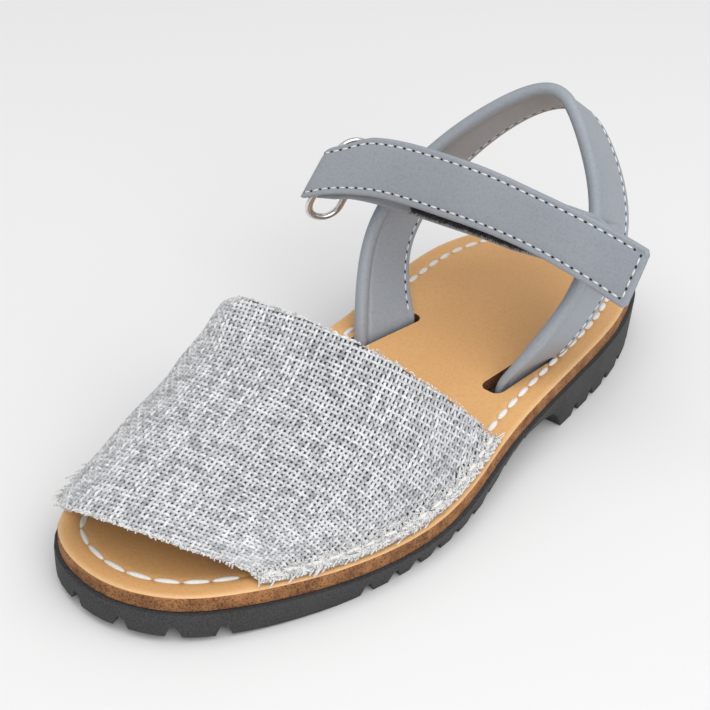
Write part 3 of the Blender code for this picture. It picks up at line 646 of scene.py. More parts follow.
def slot_tool(rolled, stitched, wider):
    """Upright bar with round ends between the two edges of a strap end, wider on its inner side."""
    along = (stitched - rolled) / np.linalg.norm(stitched - rolled)
    a = rolled - along * (ROLL_RADIUS + SLOT_END_ROOM - SLOT_WIDTH / 2)
    b = stitched + along * (SLOT_END_ROOM - SLOT_WIDTH / 2)
    side = np.array([-along[1], along[0]])
    ring = []
    for centre, way, sign in ((a, -along, -1), (b, along, 1)):
        for turn in np.linspace(-math.pi / 2, math.pi / 2, 13):
            ring.append(centre + SLOT_WIDTH / 2 * (way * math.cos(turn) + sign * side * math.sin(turn)))
    n = len(ring)
    ring = [p - [wider if (p - a) @ side * side[0] < 0 else 0.0, 0.0] for p in ring]
    verts = [(*p, level) for level in TOOL_LEVELS for p in ring]
    faces = [tuple(range(n)), tuple(range(n, 2 * n))]
    faces += [(j, (j + 1) % n, n + (j + 1) % n, n + j) for j in range(n)]
    return turn_out(piece("slot_tool", verts, faces, [slot_edge], smooth=False))


for row, wider in ((strap_rows[0], 0.0), (strap_rows[-1], OUTER_SLOT_EXTRA)):
    tool = slot_tool(row[:2], row[3:5], wider)
    cut = bed.modifiers.new("slot", "BOOLEAN")
    cut.operation = "DIFFERENCE"
    cut.solver = "EXACT"
    cut.material_mode = "TRANSFER"
    cut.object = tool
    settle(bed)
    bpy.data.objects.remove(tool, do_unlink=True)
points = np.empty(len(bed.data.vertices) * 3)
bed.data.vertices.foreach_get("co", points)
points = points.reshape(-1, 3)
near = np.array([np.hypot(edge_ring[:, 0] + MIDDLE_X - x, edge_ring[:, 1] - y).min()
                 for x, y, _ in points])
rim = np.clip(1 - np.abs(near - RIM_AT) / RIM_SPREAD, 0, 1) * RIM_TINT
bed.data.attributes.new("rim", "FLOAT", "POINT").data.foreach_set("value", rim)
bed.data.set_sharp_from_angle(angle=math.radians(48))
dress(bed, "insole_leather", "insole")
print("footbed materials:", [m.name for m in bed.data.materials])

# %% [markdown]
# ## Woven vamp
#
# The vamp is a coarse plain weave of flecked yarn, arched over the toes and sewn down at both
# sides. A texture would look flat at its edges and from close by, so each warp and weft yarn is
# laid as a real strand that passes over and under its neighbours. The weave lies at a small angle
# to the shoe. A thin backing under the strands has a near-black top, painted shade that darkens the
# small gaps, and its pale underside is the lining.


# %% Vamp surface
SHARES = np.linspace(0, 1, 61)
ACROSS = 0.0006
FOOT_ROOM = 0.0004
INNER_ROUND = 2.0
OUTER_ROUND = 1.6


def vamp_row(share):
    """The vamp's numbers at a share of its length, on a curve through its three rows."""
    a, b, c = (np.array(row) for row in VAMP)
    return a * (1 - share) * (1 - 2 * share) + 4 * b * share * (1 - share) + c * share * (2 * share - 1)


def vamp_point(row, u):
    """Outer surface of the vamp: u from -1 at the inner foot to 1 at the outer, then the flange."""
    rise, lean, crest, inner_full, outer_full, inner_along, outer_along = row
    s = math.sin(clamp(u, -1, 1) * math.pi / 2)
    if s < crest:
        h = max(1 - ((crest - s) / (1 + crest)) ** inner_full, 0.0) ** (1 / INNER_ROUND)
    else:
        h = max(1 - ((s - crest) / (1 - crest)) ** outer_full, 0.0) ** (1 / OUTER_ROUND)
    y_inner = FRONT + inner_along * LENGTH
    y_outer = FRONT + outer_along * LENGTH
    left = side_x(y_inner, -1) + FLANGE + FOOT_ROOM
    right = side_x(y_outer, 1) - FLANGE - FOOT_ROOM
    x = (left + right) / 2 + (right - left) / 2 * s
    y = y_inner + (y_outer - y_inner) * (s + 1) / 2
    if abs(u) > 1:
        x += math.copysign(FLANGE * (abs(u) - 1), u)
    return np.array([x, y - lean * LENGTH * h, footbed(y) + GAP + CLOTH + rise * HEEL_SEAT * h])


us = np.concatenate([np.linspace(-2, -1, 9), np.linspace(-1, 1, 181)[1:-1], np.linspace(1, 2, 9)])
sections = []
for share in SHARES:
    row = vamp_row(share)
    line = np.array([vamp_point(row, u) for u in us])
    run = lengths(line)
    centre = run[int(np.argmin(np.abs(us)))]
    left = int(centre / ACROSS)
    right = int((run[-1] - centre) / ACROSS)
    line = at_run(line, run, centre + ACROSS * np.arange(-left, right + 1))
    ease(line, 4)
    sections.append((left, right, line))
print("vamp arc in mm, toe and back:",
      [round((s[0] + s[1]) * ACROSS * 1000) for s in (sections[0], sections[-1])])
WIDEST = max(max(s[0], s[1]) for s in sections)
cloth = np.full((len(SHARES), 2 * WIDEST + 1, 3), np.nan)
for k, (left, right, line) in enumerate(sections):
    cloth[k, WIDEST - left:WIDEST + right + 1] = line
    cloth[k, :WIDEST - left] = line[0]
    cloth[k, WIDEST + right + 1:] = line[-1]
reach = np.array([(s[0] * ACROSS, s[1] * ACROSS) for s in sections])
cloth_up = np.cross(np.gradient(cloth, axis=1), np.gradient(cloth, axis=0))
cloth_up /= np.maximum(np.linalg.norm(cloth_up, axis=2), 1e-12)[..., None]
if np.nansum(cloth_up[..., 2]) < 0:
    cloth_up = -cloth_up
for k, (left, right, line) in enumerate(sections):
    cloth_up[k, :WIDEST - left + 1] = cloth_up[k, WIDEST - left + 1]
    cloth_up[k, WIDEST + right:] = cloth_up[k, WIDEST + right - 1]


def cloth_reach(share):
    """Distances from the cloth's crest to its inner and to its outer edge."""
    return np.interp(share, SHARES, reach[:, 0]), np.interp(share, SHARES, reach[:, 1])


RIPPLE = 0.00055
FINE_RIPPLE = 0.00012
SHOULDER = 0.0024
SHOULDER_AT = -0.026
FULLNESS = 0.0010
FULLEST_AT = -0.030
INNER_WALL = (-0.058, -0.012)


def soft_fold(share, a):
    """How far the cloth's soft folds lift or sink it, more on the inner wall."""
    wall = np.clip((INNER_WALL[1] - a) / 0.02, 0, 1) * np.clip((a - INNER_WALL[0]) / 0.01, 0, 1)
    wave = np.sin(share * 9.0 + a * 140) * 0.5 + np.sin(share * 17.0 - a * 95 + 1.3) * 0.3
    fine = np.sin(share * 23 + a * 260)
    full = np.exp(-((a - FULLEST_AT) / 0.012) ** 2)
    turned_in = 1 - 0.6 * np.clip((share - 0.92) / 0.08, 0, 1) ** 2
    shoulder = np.exp(-((a - SHOULDER_AT) / 0.011) ** 2) * np.clip((share - 0.55) / 0.4, 0, 1) * turned_in
    return RIPPLE * wall * wave + FINE_RIPPLE * fine + SHOULDER * shoulder + FULLNESS * full


def on_cloth(share, a, depth):
    """Points on the vamp at shares of its length, a metres from its crest, sunk by a depth."""
    share = np.asarray(share, float)
    a = np.asarray(a, float)
    row = np.clip(share, 0, 1) * (len(SHARES) - 1)
    col = a / ACROSS + WIDEST
    i = np.clip(row.astype(int), 0, len(SHARES) - 2)
    j = np.clip(col.astype(int), 0, 2 * WIDEST - 1)
    fi = (row - i)[:, None]
    fj = np.clip(col - j, 0, 1)[:, None]

    def blend(field):
        return ((field[i, j] * (1 - fj) + field[i, j + 1] * fj) * (1 - fi)
                + (field[i + 1, j] * (1 - fj) + field[i + 1, j + 1] * fj) * fi)
    up = unit(blend(cloth_up))
    return blend(cloth) + up * (soft_fold(share, a) - depth)[:, None], up


# %% Warp and weft yarns
WARP_TURN = math.radians(9.5)
WEFT_TURN = math.radians(5.5)
WARP_PITCH = 0.00098
WEFT_PITCH = 0.00118
YARN_RADIUS = 0.00035
WAVE = 0.00025
MIDDLE_DEPTH = 0.00068
CUT_ROOM = 0.0003
MOST_YARNS = 130
MOST_STEPS = 230
CREST_RUN = lengths(cloth[:, WIDEST])
WARP_ACROSS = np.array([math.sin(WARP_TURN), math.cos(WARP_TURN)])
WEFT_ACROSS = np.array([math.cos(WEFT_TURN), -math.sin(WEFT_TURN)])


def streaks(run, low, high):
    """Tone along a yarn: darker lengths of a few millimetres where dark fibres were spun in."""
    knots = np.arange(run[0], run[-1] + 0.003, 0.0016)
    tones = rng.uniform(0, 1, len(knots)) ** 1.8
    return low + (high - low) * np.interp(run, knots, tones)


def wander(run, size, every):
    """Slow random drift along a yarn."""
    knots = np.arange(run[0], run[-1] + 2 * every, every)
    return np.interp(run, knots, rng.normal(0, size, len(knots)))


def lay_yarns(warp):
    """Lines, thicknesses and shades of all warp or all weft yarns, cut where the cloth is cut."""
    lines, thick, shade = [], [], []
    own, other = (WARP_ACROSS, WEFT_ACROSS) if warp else (WEFT_ACROSS, WARP_ACROSS)
    pitch, other_pitch = (WARP_PITCH, WEFT_PITCH) if warp else (WEFT_PITCH, WARP_PITCH)
    along = np.array([own[1], -own[0]])
    along *= np.sign(along @ other)
    half_steps = np.arange(-MOST_STEPS, MOST_STEPS + 1)
    for k in range(-MOST_YARNS, MOST_YARNS + 1):
        t = (half_steps * other_pitch / 2 - k * pitch * (own @ other)) / (along @ other)
        level = k * pitch + wander(t, 0.00005, 0.004)
        s = np.interp(level * own[0] + t * along[0], CREST_RUN, SHARES, left=-1, right=2)
        a = level * own[1] + t * along[1]
        left, right = cloth_reach(s)
        ragged = CUT_ROOM + rng.uniform(-CUT_ROOM, CUT_ROOM)
        inside = (s > 0) & (s < 1) & (a > -left + ragged) & (a < right - ragged)
        cuts = np.flatnonzero(np.diff(np.concatenate([[0], inside.astype(int), [0]])))
        wave = WAVE * np.cos(math.pi * (half_steps / 2 + k)) * (1 if warp else -1)
        for start, stop in zip(cuts[::2], cuts[1::2]):
            if stop - start < 4:
                continue
            part = slice(start, stop)
            line, _ = on_cloth(s[part], a[part], MIDDLE_DEPTH - wave[part])
            run = t[part]
            tone = rng.uniform(0.0, 0.20)
            lines.append(line)
            thick.append(np.clip(1 + wander(run, 0.15, 0.005), 0.72, 1.28))
            shade.append(streaks(run, tone, tone + 0.56))
    return lines, thick, shade


YARN = yarn_tree("yarn strands", yarn, 5)
for label, is_warp in (("vamp_warp", True), ("vamp_weft", False)):
    lines, thick, shade = lay_yarns(is_warp)
    dress(strands(label, lines, YARN, YARN_RADIUS, thick, shade), "vamp_cloth")
    print(label, "yarns:", len(lines))

# %% Backing with painted gap shade, and lining
BACKING_DEPTHS = (0.00085, 0.00155)
wide = 90
high = 49
rows = []
for share in np.linspace(0.004, 0.996, high):
    left, right = cloth_reach(share)
    a = np.linspace(-left + CUT_ROOM, right - CUT_ROOM, wide)
    rows.append([on_cloth(np.full(wide, share), a, np.full(wide, depth))[0] for depth in BACKING_DEPTHS])
rows = np.array(rows)
verts = np.vstack([rows[:, 0].reshape(-1, 3), rows[:, 1].reshape(-1, 3)])
half = high * wide
faces = []
face_mats = []
for i in range(high - 1):
    for j in range(wide - 1):
        a = i * wide + j
        face_mats += [0, 1]
        faces.append((a, a + 1, a + wide + 1, a + wide))
        faces.append((half + a, half + a + wide, half + a + wide + 1, half + a + 1))
edge = [(0, j) for j in range(wide)] + [(i, wide - 1) for i in range(1, high)]
edge += [(high - 1, j) for j in range(wide - 2, -1, -1)] + [(i, 0) for i in range(high - 2, 0, -1)]
ids = [i * wide + j for i, j in edge]
faces += [(a, b, half + b, half + a) for a, b in zip(ids, ids[1:] + ids[:1])]
face_mats += [1] * len(ids)
# The sheet's top takes the painted gap shade; its underside and rim take the pale lining
lining = turn_out(piece("vamp_backing", verts, faces, [gap_shade_backing, lining_cloth], face_mats))
dress(lining, "vamp_cloth", "vamp")

# %% [markdown]
# The cloth isn't hemmed at its sides. Cut ends of yarn fray into short curved fibres, thick along
# the sewn flange and sparse along the toe opening and the back edge. They are thin strands from the
# same kind of tree, with their lengths and bends drawn from a fixed seed.


# %% Frayed ends
EDGE_BAND = 0.006
CUT_BAND = 0.0008
MM = 0.001


def whiskers(count, share_range, edge, reach_mm, inward=0.0, sideways=0.5, rise=0.15):
    """Short bent fibres that grow out of one edge of the cloth, or from up to inward mm inside it."""
    made = []
    for _ in range(count):
        share = rng.uniform(*share_range)
        if edge in ("inner", "outer"):
            left, right = cloth_reach(share)
            sign = -1 if edge == "inner" else 1
            a = left if edge == "inner" else right
            a = sign * (a - CUT_ROOM - rng.uniform(0, CUT_BAND + inward * MM))
            probe, other = a - 0.002 * sign, share
        else:
            share = rng.uniform(0, EDGE_BAND) if edge == "toe" else 1 - rng.uniform(0, EDGE_BAND)
            left, right = cloth_reach(share)
            a = rng.uniform(-left + MM, right - MM)
            probe, other = a, share + (0.03 if edge == "toe" else -0.03)
        depth = rng.uniform(0.0001, 0.0010) * (0.4 if inward else 1.0)
        (p, q), (up, _) = on_cloth([share, other], [a, probe], np.array([depth, depth]))
        out = (p - q) / np.linalg.norm(p - q)
        side = np.cross(up, out)
        length = rng.uniform(*reach_mm) * MM
        bend = rng.normal(0, sideways, 2)
        lift = rng.normal(rise, 0.12)
        t = np.linspace(0, 1, 6)[:, None]
        curl = 0.18 * np.sin(t * rng.uniform(2, 5) + rng.uniform(0, 6)) * t
        sway = bend[0] * t + bend[1] * t ** 2 + curl
        droop = lift * t - 0.30 * t ** 2
        made.append(p + length * (out * (t - 0.25 * t ** 2) + side * sway + up * droop))
    return made


FRAY_RADIUS = 0.00016
FIBRE_TAPER = np.array([1.0, 0.95, 0.9, 0.8, 0.65, 0.4])
YARN_END_TAPER = np.array([1.9, 1.9, 1.8, 1.7, 1.5, 1.1])
fibres = (whiskers(500, (0, 1), "inner", (0.5, 1.5)) + whiskers(900, (0, 1), "outer", (0.25, 0.8))
          + whiskers(420, (0, 1), "toe", (0.2, 0.6)) + whiskers(260, (0, 1), "back", (0.2, 0.6))
          + whiskers(800, (0.01, 0.99), "outer", (0.5, 1.4), inward=3.0, sideways=1.2, rise=0.15)
          + whiskers(450, (0.01, 0.99), "inner", (0.6, 1.6), inward=3.0, sideways=1.2, rise=0.2))
yarn_ends = (whiskers(400, (0, 0.45), "inner", (1.8, 3.1), sideways=0.4, rise=0.3)
             + whiskers(150, (0.4, 1), "inner", (1.4, 2.4), sideways=0.3, rise=0.4)
             + whiskers(200, (0, 1), "outer", (0.3, 0.9), sideways=0.25, rise=-0.1))
thick = [FIBRE_TAPER * rng.uniform(0.5, 1.2) for _ in fibres]
thick += [YARN_END_TAPER * rng.uniform(0.8, 1.1) for _ in yarn_ends]
fibres += yarn_ends
frayed = strands("vamp_fray", fibres, yarn_tree("fray strands", fray, 4), FRAY_RADIUS, thick)
dress(frayed, "vamp_cloth")
print("frayed fibres:", len(fibres))

# %% [markdown]
# ## Straps
#
# Both straps are strips of leather. A strip is a section that travels along a line, and its look
# lies in the section: rounded cut edges, a faint swell between two sewing lines and, on the heel
# strap, a rolled cord along the upper edge with a crease beside it.


# %% Strip helpers
EDGE_ROUND = 0.0005


def rounded(inset, radius=EDGE_ROUND, least=0.02):
    """Share of the leather's thickness at an inset from its rounded edge."""
    return math.sqrt(max(1 - max(0.0, (radius - inset) / radius) ** 2, least))


def groove(v, line, width=0.0005):
    """1 at a line pressed into the leather, and less beside it."""
    return math.exp(-((v - line) / width) ** 2)


def whole(line):
    """Rows of a strip that keeps its full width along a line."""
    return [(k, 1.0) for k in range(len(line))]


def strip(name, place, half_at, ws, mat, rows):
    """Closed strip. place(k, w, off) is a point w across and off the middle surface at step k,
    half_at(w) is half the thickness, and rows holds each k with the share of the width there."""
    verts = []
    for k, share in rows:
        verts += [place(k, w * share, half_at(w)) for w in ws]
        verts += [place(k, w * share, -half_at(w)) for w in ws[::-1]]
    n = 2 * len(ws)
    faces = tube_faces(len(rows), n)
    last = (len(rows) - 1) * n
    for j in range(len(ws) - 1):
        faces.append((j, n - 1 - j, n - 2 - j, j + 1))
        faces.append((last + j, last + j + 1, last + n - 2 - j, last + n - 1 - j))
    return turn_out(piece(name, verts, faces, [mat]))


# %% Heel strap
path = spline(strap_rows, 161)
ends = []
for row in (path[0], path[-1]):
    levels = []
    for share in (0.0, 1.0):
        end = row.copy()
        for k in (0, 3):
            end[k + 2] = footbed(end[k + 1]) - INSOLE_THICKNESS * (1 - share)
        levels.append(end)
    ends.append(levels)
heel_path = np.vstack([ends[0], path[6:-6], ends[1][::-1]])
run = lengths((heel_path[:, :3] + heel_path[:, 3:]) / 2)
heel_run = np.linspace(0, run[-1], 190)
heel_path = at_run(heel_path, run, heel_run)
ease(heel_path, 3, held=2)
heel_width = np.linalg.norm(heel_path[:, :3] - heel_path[:, 3:], axis=1)
heel_up = (heel_path[:, :3] - heel_path[:, 3:]) / heel_width[:, None]
heel_way = unit(np.gradient((heel_path[:, :3] + heel_path[:, 3:]) / 2, axis=0))
heel_out = unit(np.cross(heel_way, heel_up))
if heel_out[len(heel_out) // 2, 1] < 0:
    heel_out = -heel_out
MID_WIDTH = float(np.median(heel_width))
HEEL_SEWN = 0.0017
SEWN_PRESS = 0.00016
STRAP_PRESS = 0.00014
CREASE_PRESS = 0.00028
TAPER_FROM = 0.003
TAPER_OVER = 0.010
TAPER_LEAST = 0.55


def heel_half(v):
    """Half the heel strap's thickness, v metres up from its sewn edge on the middle width."""
    web = HEEL_WEB / 2 * rounded(v) - SEWN_PRESS * groove(v, HEEL_SEWN)
    web -= CREASE_PRESS * groove(v, MID_WIDTH - ROLL_RADIUS * 1.25, 0.0004)
    roll = math.sqrt(max(ROLL_RADIUS ** 2 - (v - MID_WIDTH) ** 2, 0.0))
    return roll if v > MID_WIDTH else max(web, roll)


heel_ws = np.concatenate([[0.0, 0.0001, 0.0003, 0.0006, 0.0011, 0.0015, 0.0019, 0.0024, 0.0034],
                          np.linspace(0.0048, MID_WIDTH - 0.0030, 7),
                          MID_WIDTH + np.array([-0.0025, -0.0022, -0.0020, -0.0018, -0.0015, -0.0012]),
                          MID_WIDTH + ROLL_RADIUS * np.sin(np.linspace(-0.5, math.pi / 2, 12))])


def heel_place(k, w, off):
    """Point of the heel strap: w on the middle width is stretched to the width there, and the roll
    thins out towards the outer slot."""
    taper = TAPER_LEAST + (1 - TAPER_LEAST) * onset(heel_run[-1] - heel_run[k], TAPER_FROM, TAPER_OVER)
    if w > MID_WIDTH - ROLL_RADIUS:
        web = HEEL_WEB / 2 - 0.0001 if w < MID_WIDTH else 0.0
        off = math.copysign(max(abs(off) * taper, min(web, abs(off))), off)
    if w < MID_WIDTH:
        reach_up = w * heel_width[k] / MID_WIDTH
    else:
        reach_up = heel_width[k] + (w - MID_WIDTH) * taper
    return heel_path[k, 3:] + heel_up[k] * reach_up + heel_out[k] * off


heel_strap = strip("heel_strap_leather", heel_place, heel_half, heel_ws, grey, whole(heel_run))
dress(heel_strap, "strap_leather", "heel_strap")

# %% [markdown]
# The instep strap is drawn by its line seen from above. Its width runs along a direction that
# leans back, and the strap leans further where it folds round the ring and where it is sewn on.
# Its back layer hangs a little lower than the front one.

# %% Instep strap place
LIFT = math.radians(20.0)
WIDE = np.array([0.0, math.sin(LIFT), math.cos(LIFT)])
FLAT = np.array([0.0, math.cos(LIFT), -math.sin(LIFT)])
REST_Y = 0.160 * LENGTH
REST_Z = 0.275 * LENGTH
ROW_POINTS = 12
LAYER_SPACE = 0.0030
STRAP_SAG = 0.0013
BACK_Y = 0.0248
BACK_EASE = 0.0012
BACK_DROP = 0.0015
SEWN_Y = 0.034
SEWN_DROP = 0.0030
SEWN_LEAN = 0.38
FOLD_X = -0.026
FOLD_LEAN = 0.30
FREE_END_X = 0.036
FREE_END_LEAN = 0.12
LEAN_EASE = 0.008
height_rows = catmull(np.array(STRAP_HEIGHT) * LENGTH, 8)


def strap_place(x, y, w):
    """Point of the instep strap from its plan position and w along its width."""
    lift = np.interp(x, height_rows[:, 0], height_rows[:, 1]) - REST_Z
    w = w * float(np.interp(x, height_rows[:, 0], height_rows[:, 2])) / LENGTH
    centre = np.array([x, REST_Y, REST_Z]) + WIDE * lift / WIDE[2]
    sewn = onset(y, SEWN_Y, 0.010)
    if x > 0:
        w -= SEWN_DROP * sewn
    w -= BACK_DROP * onset(x, -0.030, 0.012) * onset(y, BACK_Y, BACK_EASE)
    folded = onset(-x, -FOLD_X, LEAN_EASE)
    ended = onset(x, FREE_END_X, LEAN_EASE)
    lean = FOLD_LEAN * folded + FREE_END_LEAN * ended - math.copysign(SEWN_LEAN * sewn, x)
    centre[0] += lean * w
    return centre + FLAT * (y - REST_Y) + WIDE * w


back_line = catmull(np.array(BACK_LAYER) * LENGTH, ROW_POINTS)
turn_radius = (LAYER_SPACE + STRAP_LEATHER) / 2
fold_centre = back_line[-1] - [0, turn_radius]
fold = [fold_centre + turn_radius * np.array([-math.sin(a), math.cos(a)])
        for a in np.linspace(0, math.pi, 21)[1:]]
END_X = STRAP_HEIGHT[-1][0] * LENGTH
front_line = [(x, fold[-1][1]) for x in np.linspace(fold[-1][0], END_X, 140)[1:]]
strap_line = np.vstack([back_line, fold, front_line])
strap_run = lengths(strap_line)
print("instep strap, mm along its middle:", round(strap_run[-1] * 1000))


def band_place(line, sag=0.0):
    """Place function of a strip along a line seen from above, whose back layer may sag a little."""
    side = sides_of(line)

    def place(k, w, off):
        p = line[k] + side[k] * off
        behind = onset(line[k][1], BACK_Y, BACK_EASE)
        behind *= onset(p[0], -0.0385, 0.005) * onset(-p[0], -0.024, 0.01)
        return strap_place(p[0], p[1], w - sag * behind)
    return place


HALF_STRAP = STRAP_WIDTH / 2
TOP_SEWN = HALF_STRAP - 0.0014
LOW_SEWN = -HALF_STRAP + 0.0017


def strap_half(v):
    """Half the instep strap's thickness at v across it: round edges and pressed sewing lines."""
    half = STRAP_LEATHER / 2 * rounded(HALF_STRAP - abs(v))
    return half - STRAP_PRESS * (groove(v, TOP_SEWN) + groove(v, LOW_SEWN))


edge_ws = np.array([0.0, 0.0001, 0.0003, 0.0006, 0.0010, 0.0014, 0.0018, 0.0023, 0.0031])
strap_ws = np.concatenate([-HALF_STRAP + edge_ws, np.linspace(-0.0030, 0.0030, 5),
                           (HALF_STRAP - edge_ws)[::-1]])
END_CORNER = 0.0009
FOLD_PINCH = 0.0007
end_rows = []
for k in range(len(strap_line)):
    close = max(END_CORNER - (strap_run[-1] - strap_run[k]), 0.0)
    turned = clamp((strap_line[k][0] - fold_centre[0]) / -turn_radius)
    cut_in = END_CORNER - math.sqrt(max(END_CORNER ** 2 - close ** 2, 0.0)) + FOLD_PINCH * turned ** 2
    end_rows.append((k, 1 - cut_in / HALF_STRAP))
instep_place = band_place(strap_line, STRAP_SAG)
instep = strip("instep_strap_leather", instep_place, strap_half, strap_ws, grey, end_rows)
dress(instep, "strap_leather", "instep_strap")

# %% Touch fastener patches
PATCH = 0.0010


def plain_half(v):
    """Half the thickness of a flat patch."""
    return PATCH / 2


# The loop patch lies on the back layer past its third row
back_at = back_line[3 * ROW_POINTS:][::-1]
patch_off = STRAP_LEATHER / 2 + GAP + PATCH / 2
loop_line = np.array([(x, np.interp(x, back_at[:, 0], back_at[:, 1]) - patch_off)
                      for x in np.linspace(-0.070, 0.145, 60) * LENGTH])
hook_line = np.array([(x, fold[-1][1] + patch_off) for x in np.linspace(-0.095, 0.185, 40) * LENGTH])
LOOP_W = np.linspace(-0.0057, 0.0058, 9)
HOOK_W = np.linspace(-0.0052, 0.0052, 7)
loop_place = band_place(loop_line, STRAP_SAG)
hook_place = band_place(hook_line, STRAP_SAG)
for label, place, line, ws, node in (
        ("loop_patch_cloth", loop_place, loop_line, LOOP_W, "loop_patch"),
        ("hook_patch_cloth", hook_place, hook_line, HOOK_W, "hook_patch")):
    patch = strip(label, place, plain_half, ws, fuzz, whole(line))
    patch.data.set_sharp_from_angle(angle=math.radians(50))
    dress(patch, "fastener_cloth", node)

# %% [markdown]
# The soft half of a touch fastener is a mat of tiny loops, which stands out as dark fuzz below the
# strap's edge. Small bent fibres along the patch's lower margin give that ragged dark line, partly
# the fastener's own black loops and partly painted shade for the gap between the strap's layers.

# %% Fastener fuzz
FUZZ_MARGIN = 0.0023
FUZZ_RADIUS = 0.00007
loops = []
for _ in range(1500):
    i = int(rng.integers(0, len(loop_line)))
    if rng.uniform() < 0.8:
        w = LOOP_W[0] + rng.uniform(0, FUZZ_MARGIN)
        start = loop_place(i, w, -PATCH / 2)
        out = (loop_place(i, w, -PATCH / 2 - 0.001) - start) / 0.001
    else:
        start = loop_place(i, LOOP_W[0], rng.uniform(-PATCH / 2, PATCH / 2))
        out = -WIDE
    way = rng.normal(0, 0.00016, 3)
    t = np.linspace(0, 1, 4)[:, None]
    start = start + [rng.uniform(-0.0004, 0.0004), 0, 0]
    loops.append(start + out * rng.uniform(0.0002, 0.00045) * np.sin(t * 2.4) + way * t * 1.6)
# The fuzz is the fastener's black loops and also painted shade between the strap's two layers
fuzz_and_layer_shade = strands("fastener_fuzz_and_layer_shade", loops, yarn_tree("fuzz strands", fuzz, 3), FUZZ_RADIUS)
dress(fuzz_and_layer_shade, "fastener_cloth")

# %% [markdown]
# ## Ring and its keeper
#
# The ring is round wire bent to a long loop with round corners. The strap's fold hangs on its
# front bar, and a short leather loop sewn to the heel strap's inner leg holds its back bar.

# %% Ring
RING_WIRE = 0.0018
RING_HEIGHT = 0.0206
RING_DROP = 0.0023
RING_CORNER = 0.0036
WIRE_SIDES = 16
bar_front = np.array([-0.2101, 0.1419]) * LENGTH
bar_back = np.array([-0.1883, 0.1803]) * LENGTH
bar_gap = np.linalg.norm(bar_back - bar_front)
ring_way = (bar_back - bar_front) / bar_gap
ring_side = np.array([-ring_way[1], ring_way[0]])
half_high = RING_HEIGHT / 2 - RING_CORNER
half_wide = bar_gap / 2 - RING_CORNER
ring_middle = (bar_front + bar_back) / 2
oval = []
for quarter, (sx, sy) in enumerate(((1, 1), (-1, 1), (-1, -1), (1, -1))):
    for a in np.linspace(0, math.pi / 2, 10) + quarter * math.pi / 2:
        oval.append((sx * half_wide + RING_CORNER * math.cos(a), sy * half_high + RING_CORNER * math.sin(a)))
oval = np.array(oval)
oval_way = unit(np.roll(oval, -1, axis=0) - np.roll(oval, 1, axis=0))
verts = []
for p, way in zip(oval, oval_way):
    out = np.array([way[1], -way[0]])
    for j in range(WIRE_SIDES):
        a = 2 * math.pi * j / WIRE_SIDES
        flat = p + out * math.cos(a) * RING_WIRE / 2
        plan = ring_middle + ring_way * flat[0] + ring_side * math.sin(a) * RING_WIRE / 2
        level = strap_place(ring_middle[0], plan[1], flat[1] - RING_DROP)
        verts.append((level[0] + plan[0] - ring_middle[0], level[1], level[2]))
ring = turn_out(piece("strap_ring", verts, tube_faces(len(oval), WIRE_SIDES, closed=True), [metal]))
dress(ring, "ring_metal", "ring")

# %% Keeper
KEEPER_LEATHER = 0.0011
KEEPER_WIDTH = 0.0090
KEEPER_ROOM = 0.0007
TAIL_ROOM = 0.0001
tail = np.array([(-0.1417, 0.2780), (-0.1462, 0.2444), (-0.1547, 0.2167), (-0.1695, 0.1956)]) * LENGTH
loop_radius = RING_WIRE / 2 + KEEPER_ROOM + KEEPER_LEATHER / 2
enter = tail[-1] - bar_back
base_angle = math.atan2(enter[1], enter[0])
spread = math.radians(52)
wrap = [bar_back + loop_radius * np.array([math.cos(a), math.sin(a)])
        for a in np.linspace(base_angle - spread, base_angle + spread - 2 * math.pi, 31)]
apart = sides_of(tail) * (KEEPER_LEATHER / 2 + TAIL_ROOM)
near_tail = tail + apart
far_tail = tail - apart
if np.linalg.norm(near_tail[-1] - wrap[0]) > np.linalg.norm(far_tail[-1] - wrap[0]):
    near_tail, far_tail = far_tail, near_tail
keeper_line = even(np.vstack([catmull(near_tail, 6), wrap, catmull(far_tail[::-1], 6)]), 0.0005)
ease(keeper_line, 3)


def keeper_half(v):
    """Half the keeper's thickness at v across it."""
    return KEEPER_LEATHER / 2 * rounded(KEEPER_WIDTH / 2 - abs(v), 0.0003, 0.05)


keeper_ws = KEEPER_WIDTH / 2 * np.array([-1, -0.98, -0.94, -0.8, -0.4, 0, 0.4, 0.8, 0.94, 0.98, 1])
keeper_place = band_place(keeper_line)
keeper = strip("ring_keeper_leather", keeper_place, keeper_half, keeper_ws, grey, whole(keeper_line))
dress(keeper, "strap_leather", "ring_loop")

# %% [markdown]
# ## Sewing
#
# A thick waxed thread holds the footbed to the sole in long hand stitches, and a fine machine
# stitch runs along the straps with a needle hole between each pair of stitches, drawn as a
# near-black bead of painted shade. The holes sit half a stitch further on than the threads, on
# the same line.


# %% Stitch rows along a line
def seam(points, ups, pitch, start=0.0, sink=0.0):
    """Rows for beads at an even pitch along a line of surface points with their up directions."""
    points = np.asarray(points, float)
    run = lengths(points)
    at = np.arange(start, run[-1], pitch)
    here = at_run(points, run, at)
    ways = at_run(points, run, at + pitch * 0.3) - at_run(points, run, at - pitch * 0.3)
    ups = unit(at_run(np.asarray(ups, float), run, at))
    return [(p - up * sink, way / np.linalg.norm(way), up)
            for p, way, up in zip(here, ways, ups) if np.linalg.norm(way) > 1e-6]


HAND = bead_tree("hand stitches", white, 10, 8, 3)
MACHINE = bead_tree("machine stitches", pale, 7, 5, 4)
NEEDLE = bead_tree("needle holes", hole_shade, 6, 4, 5)

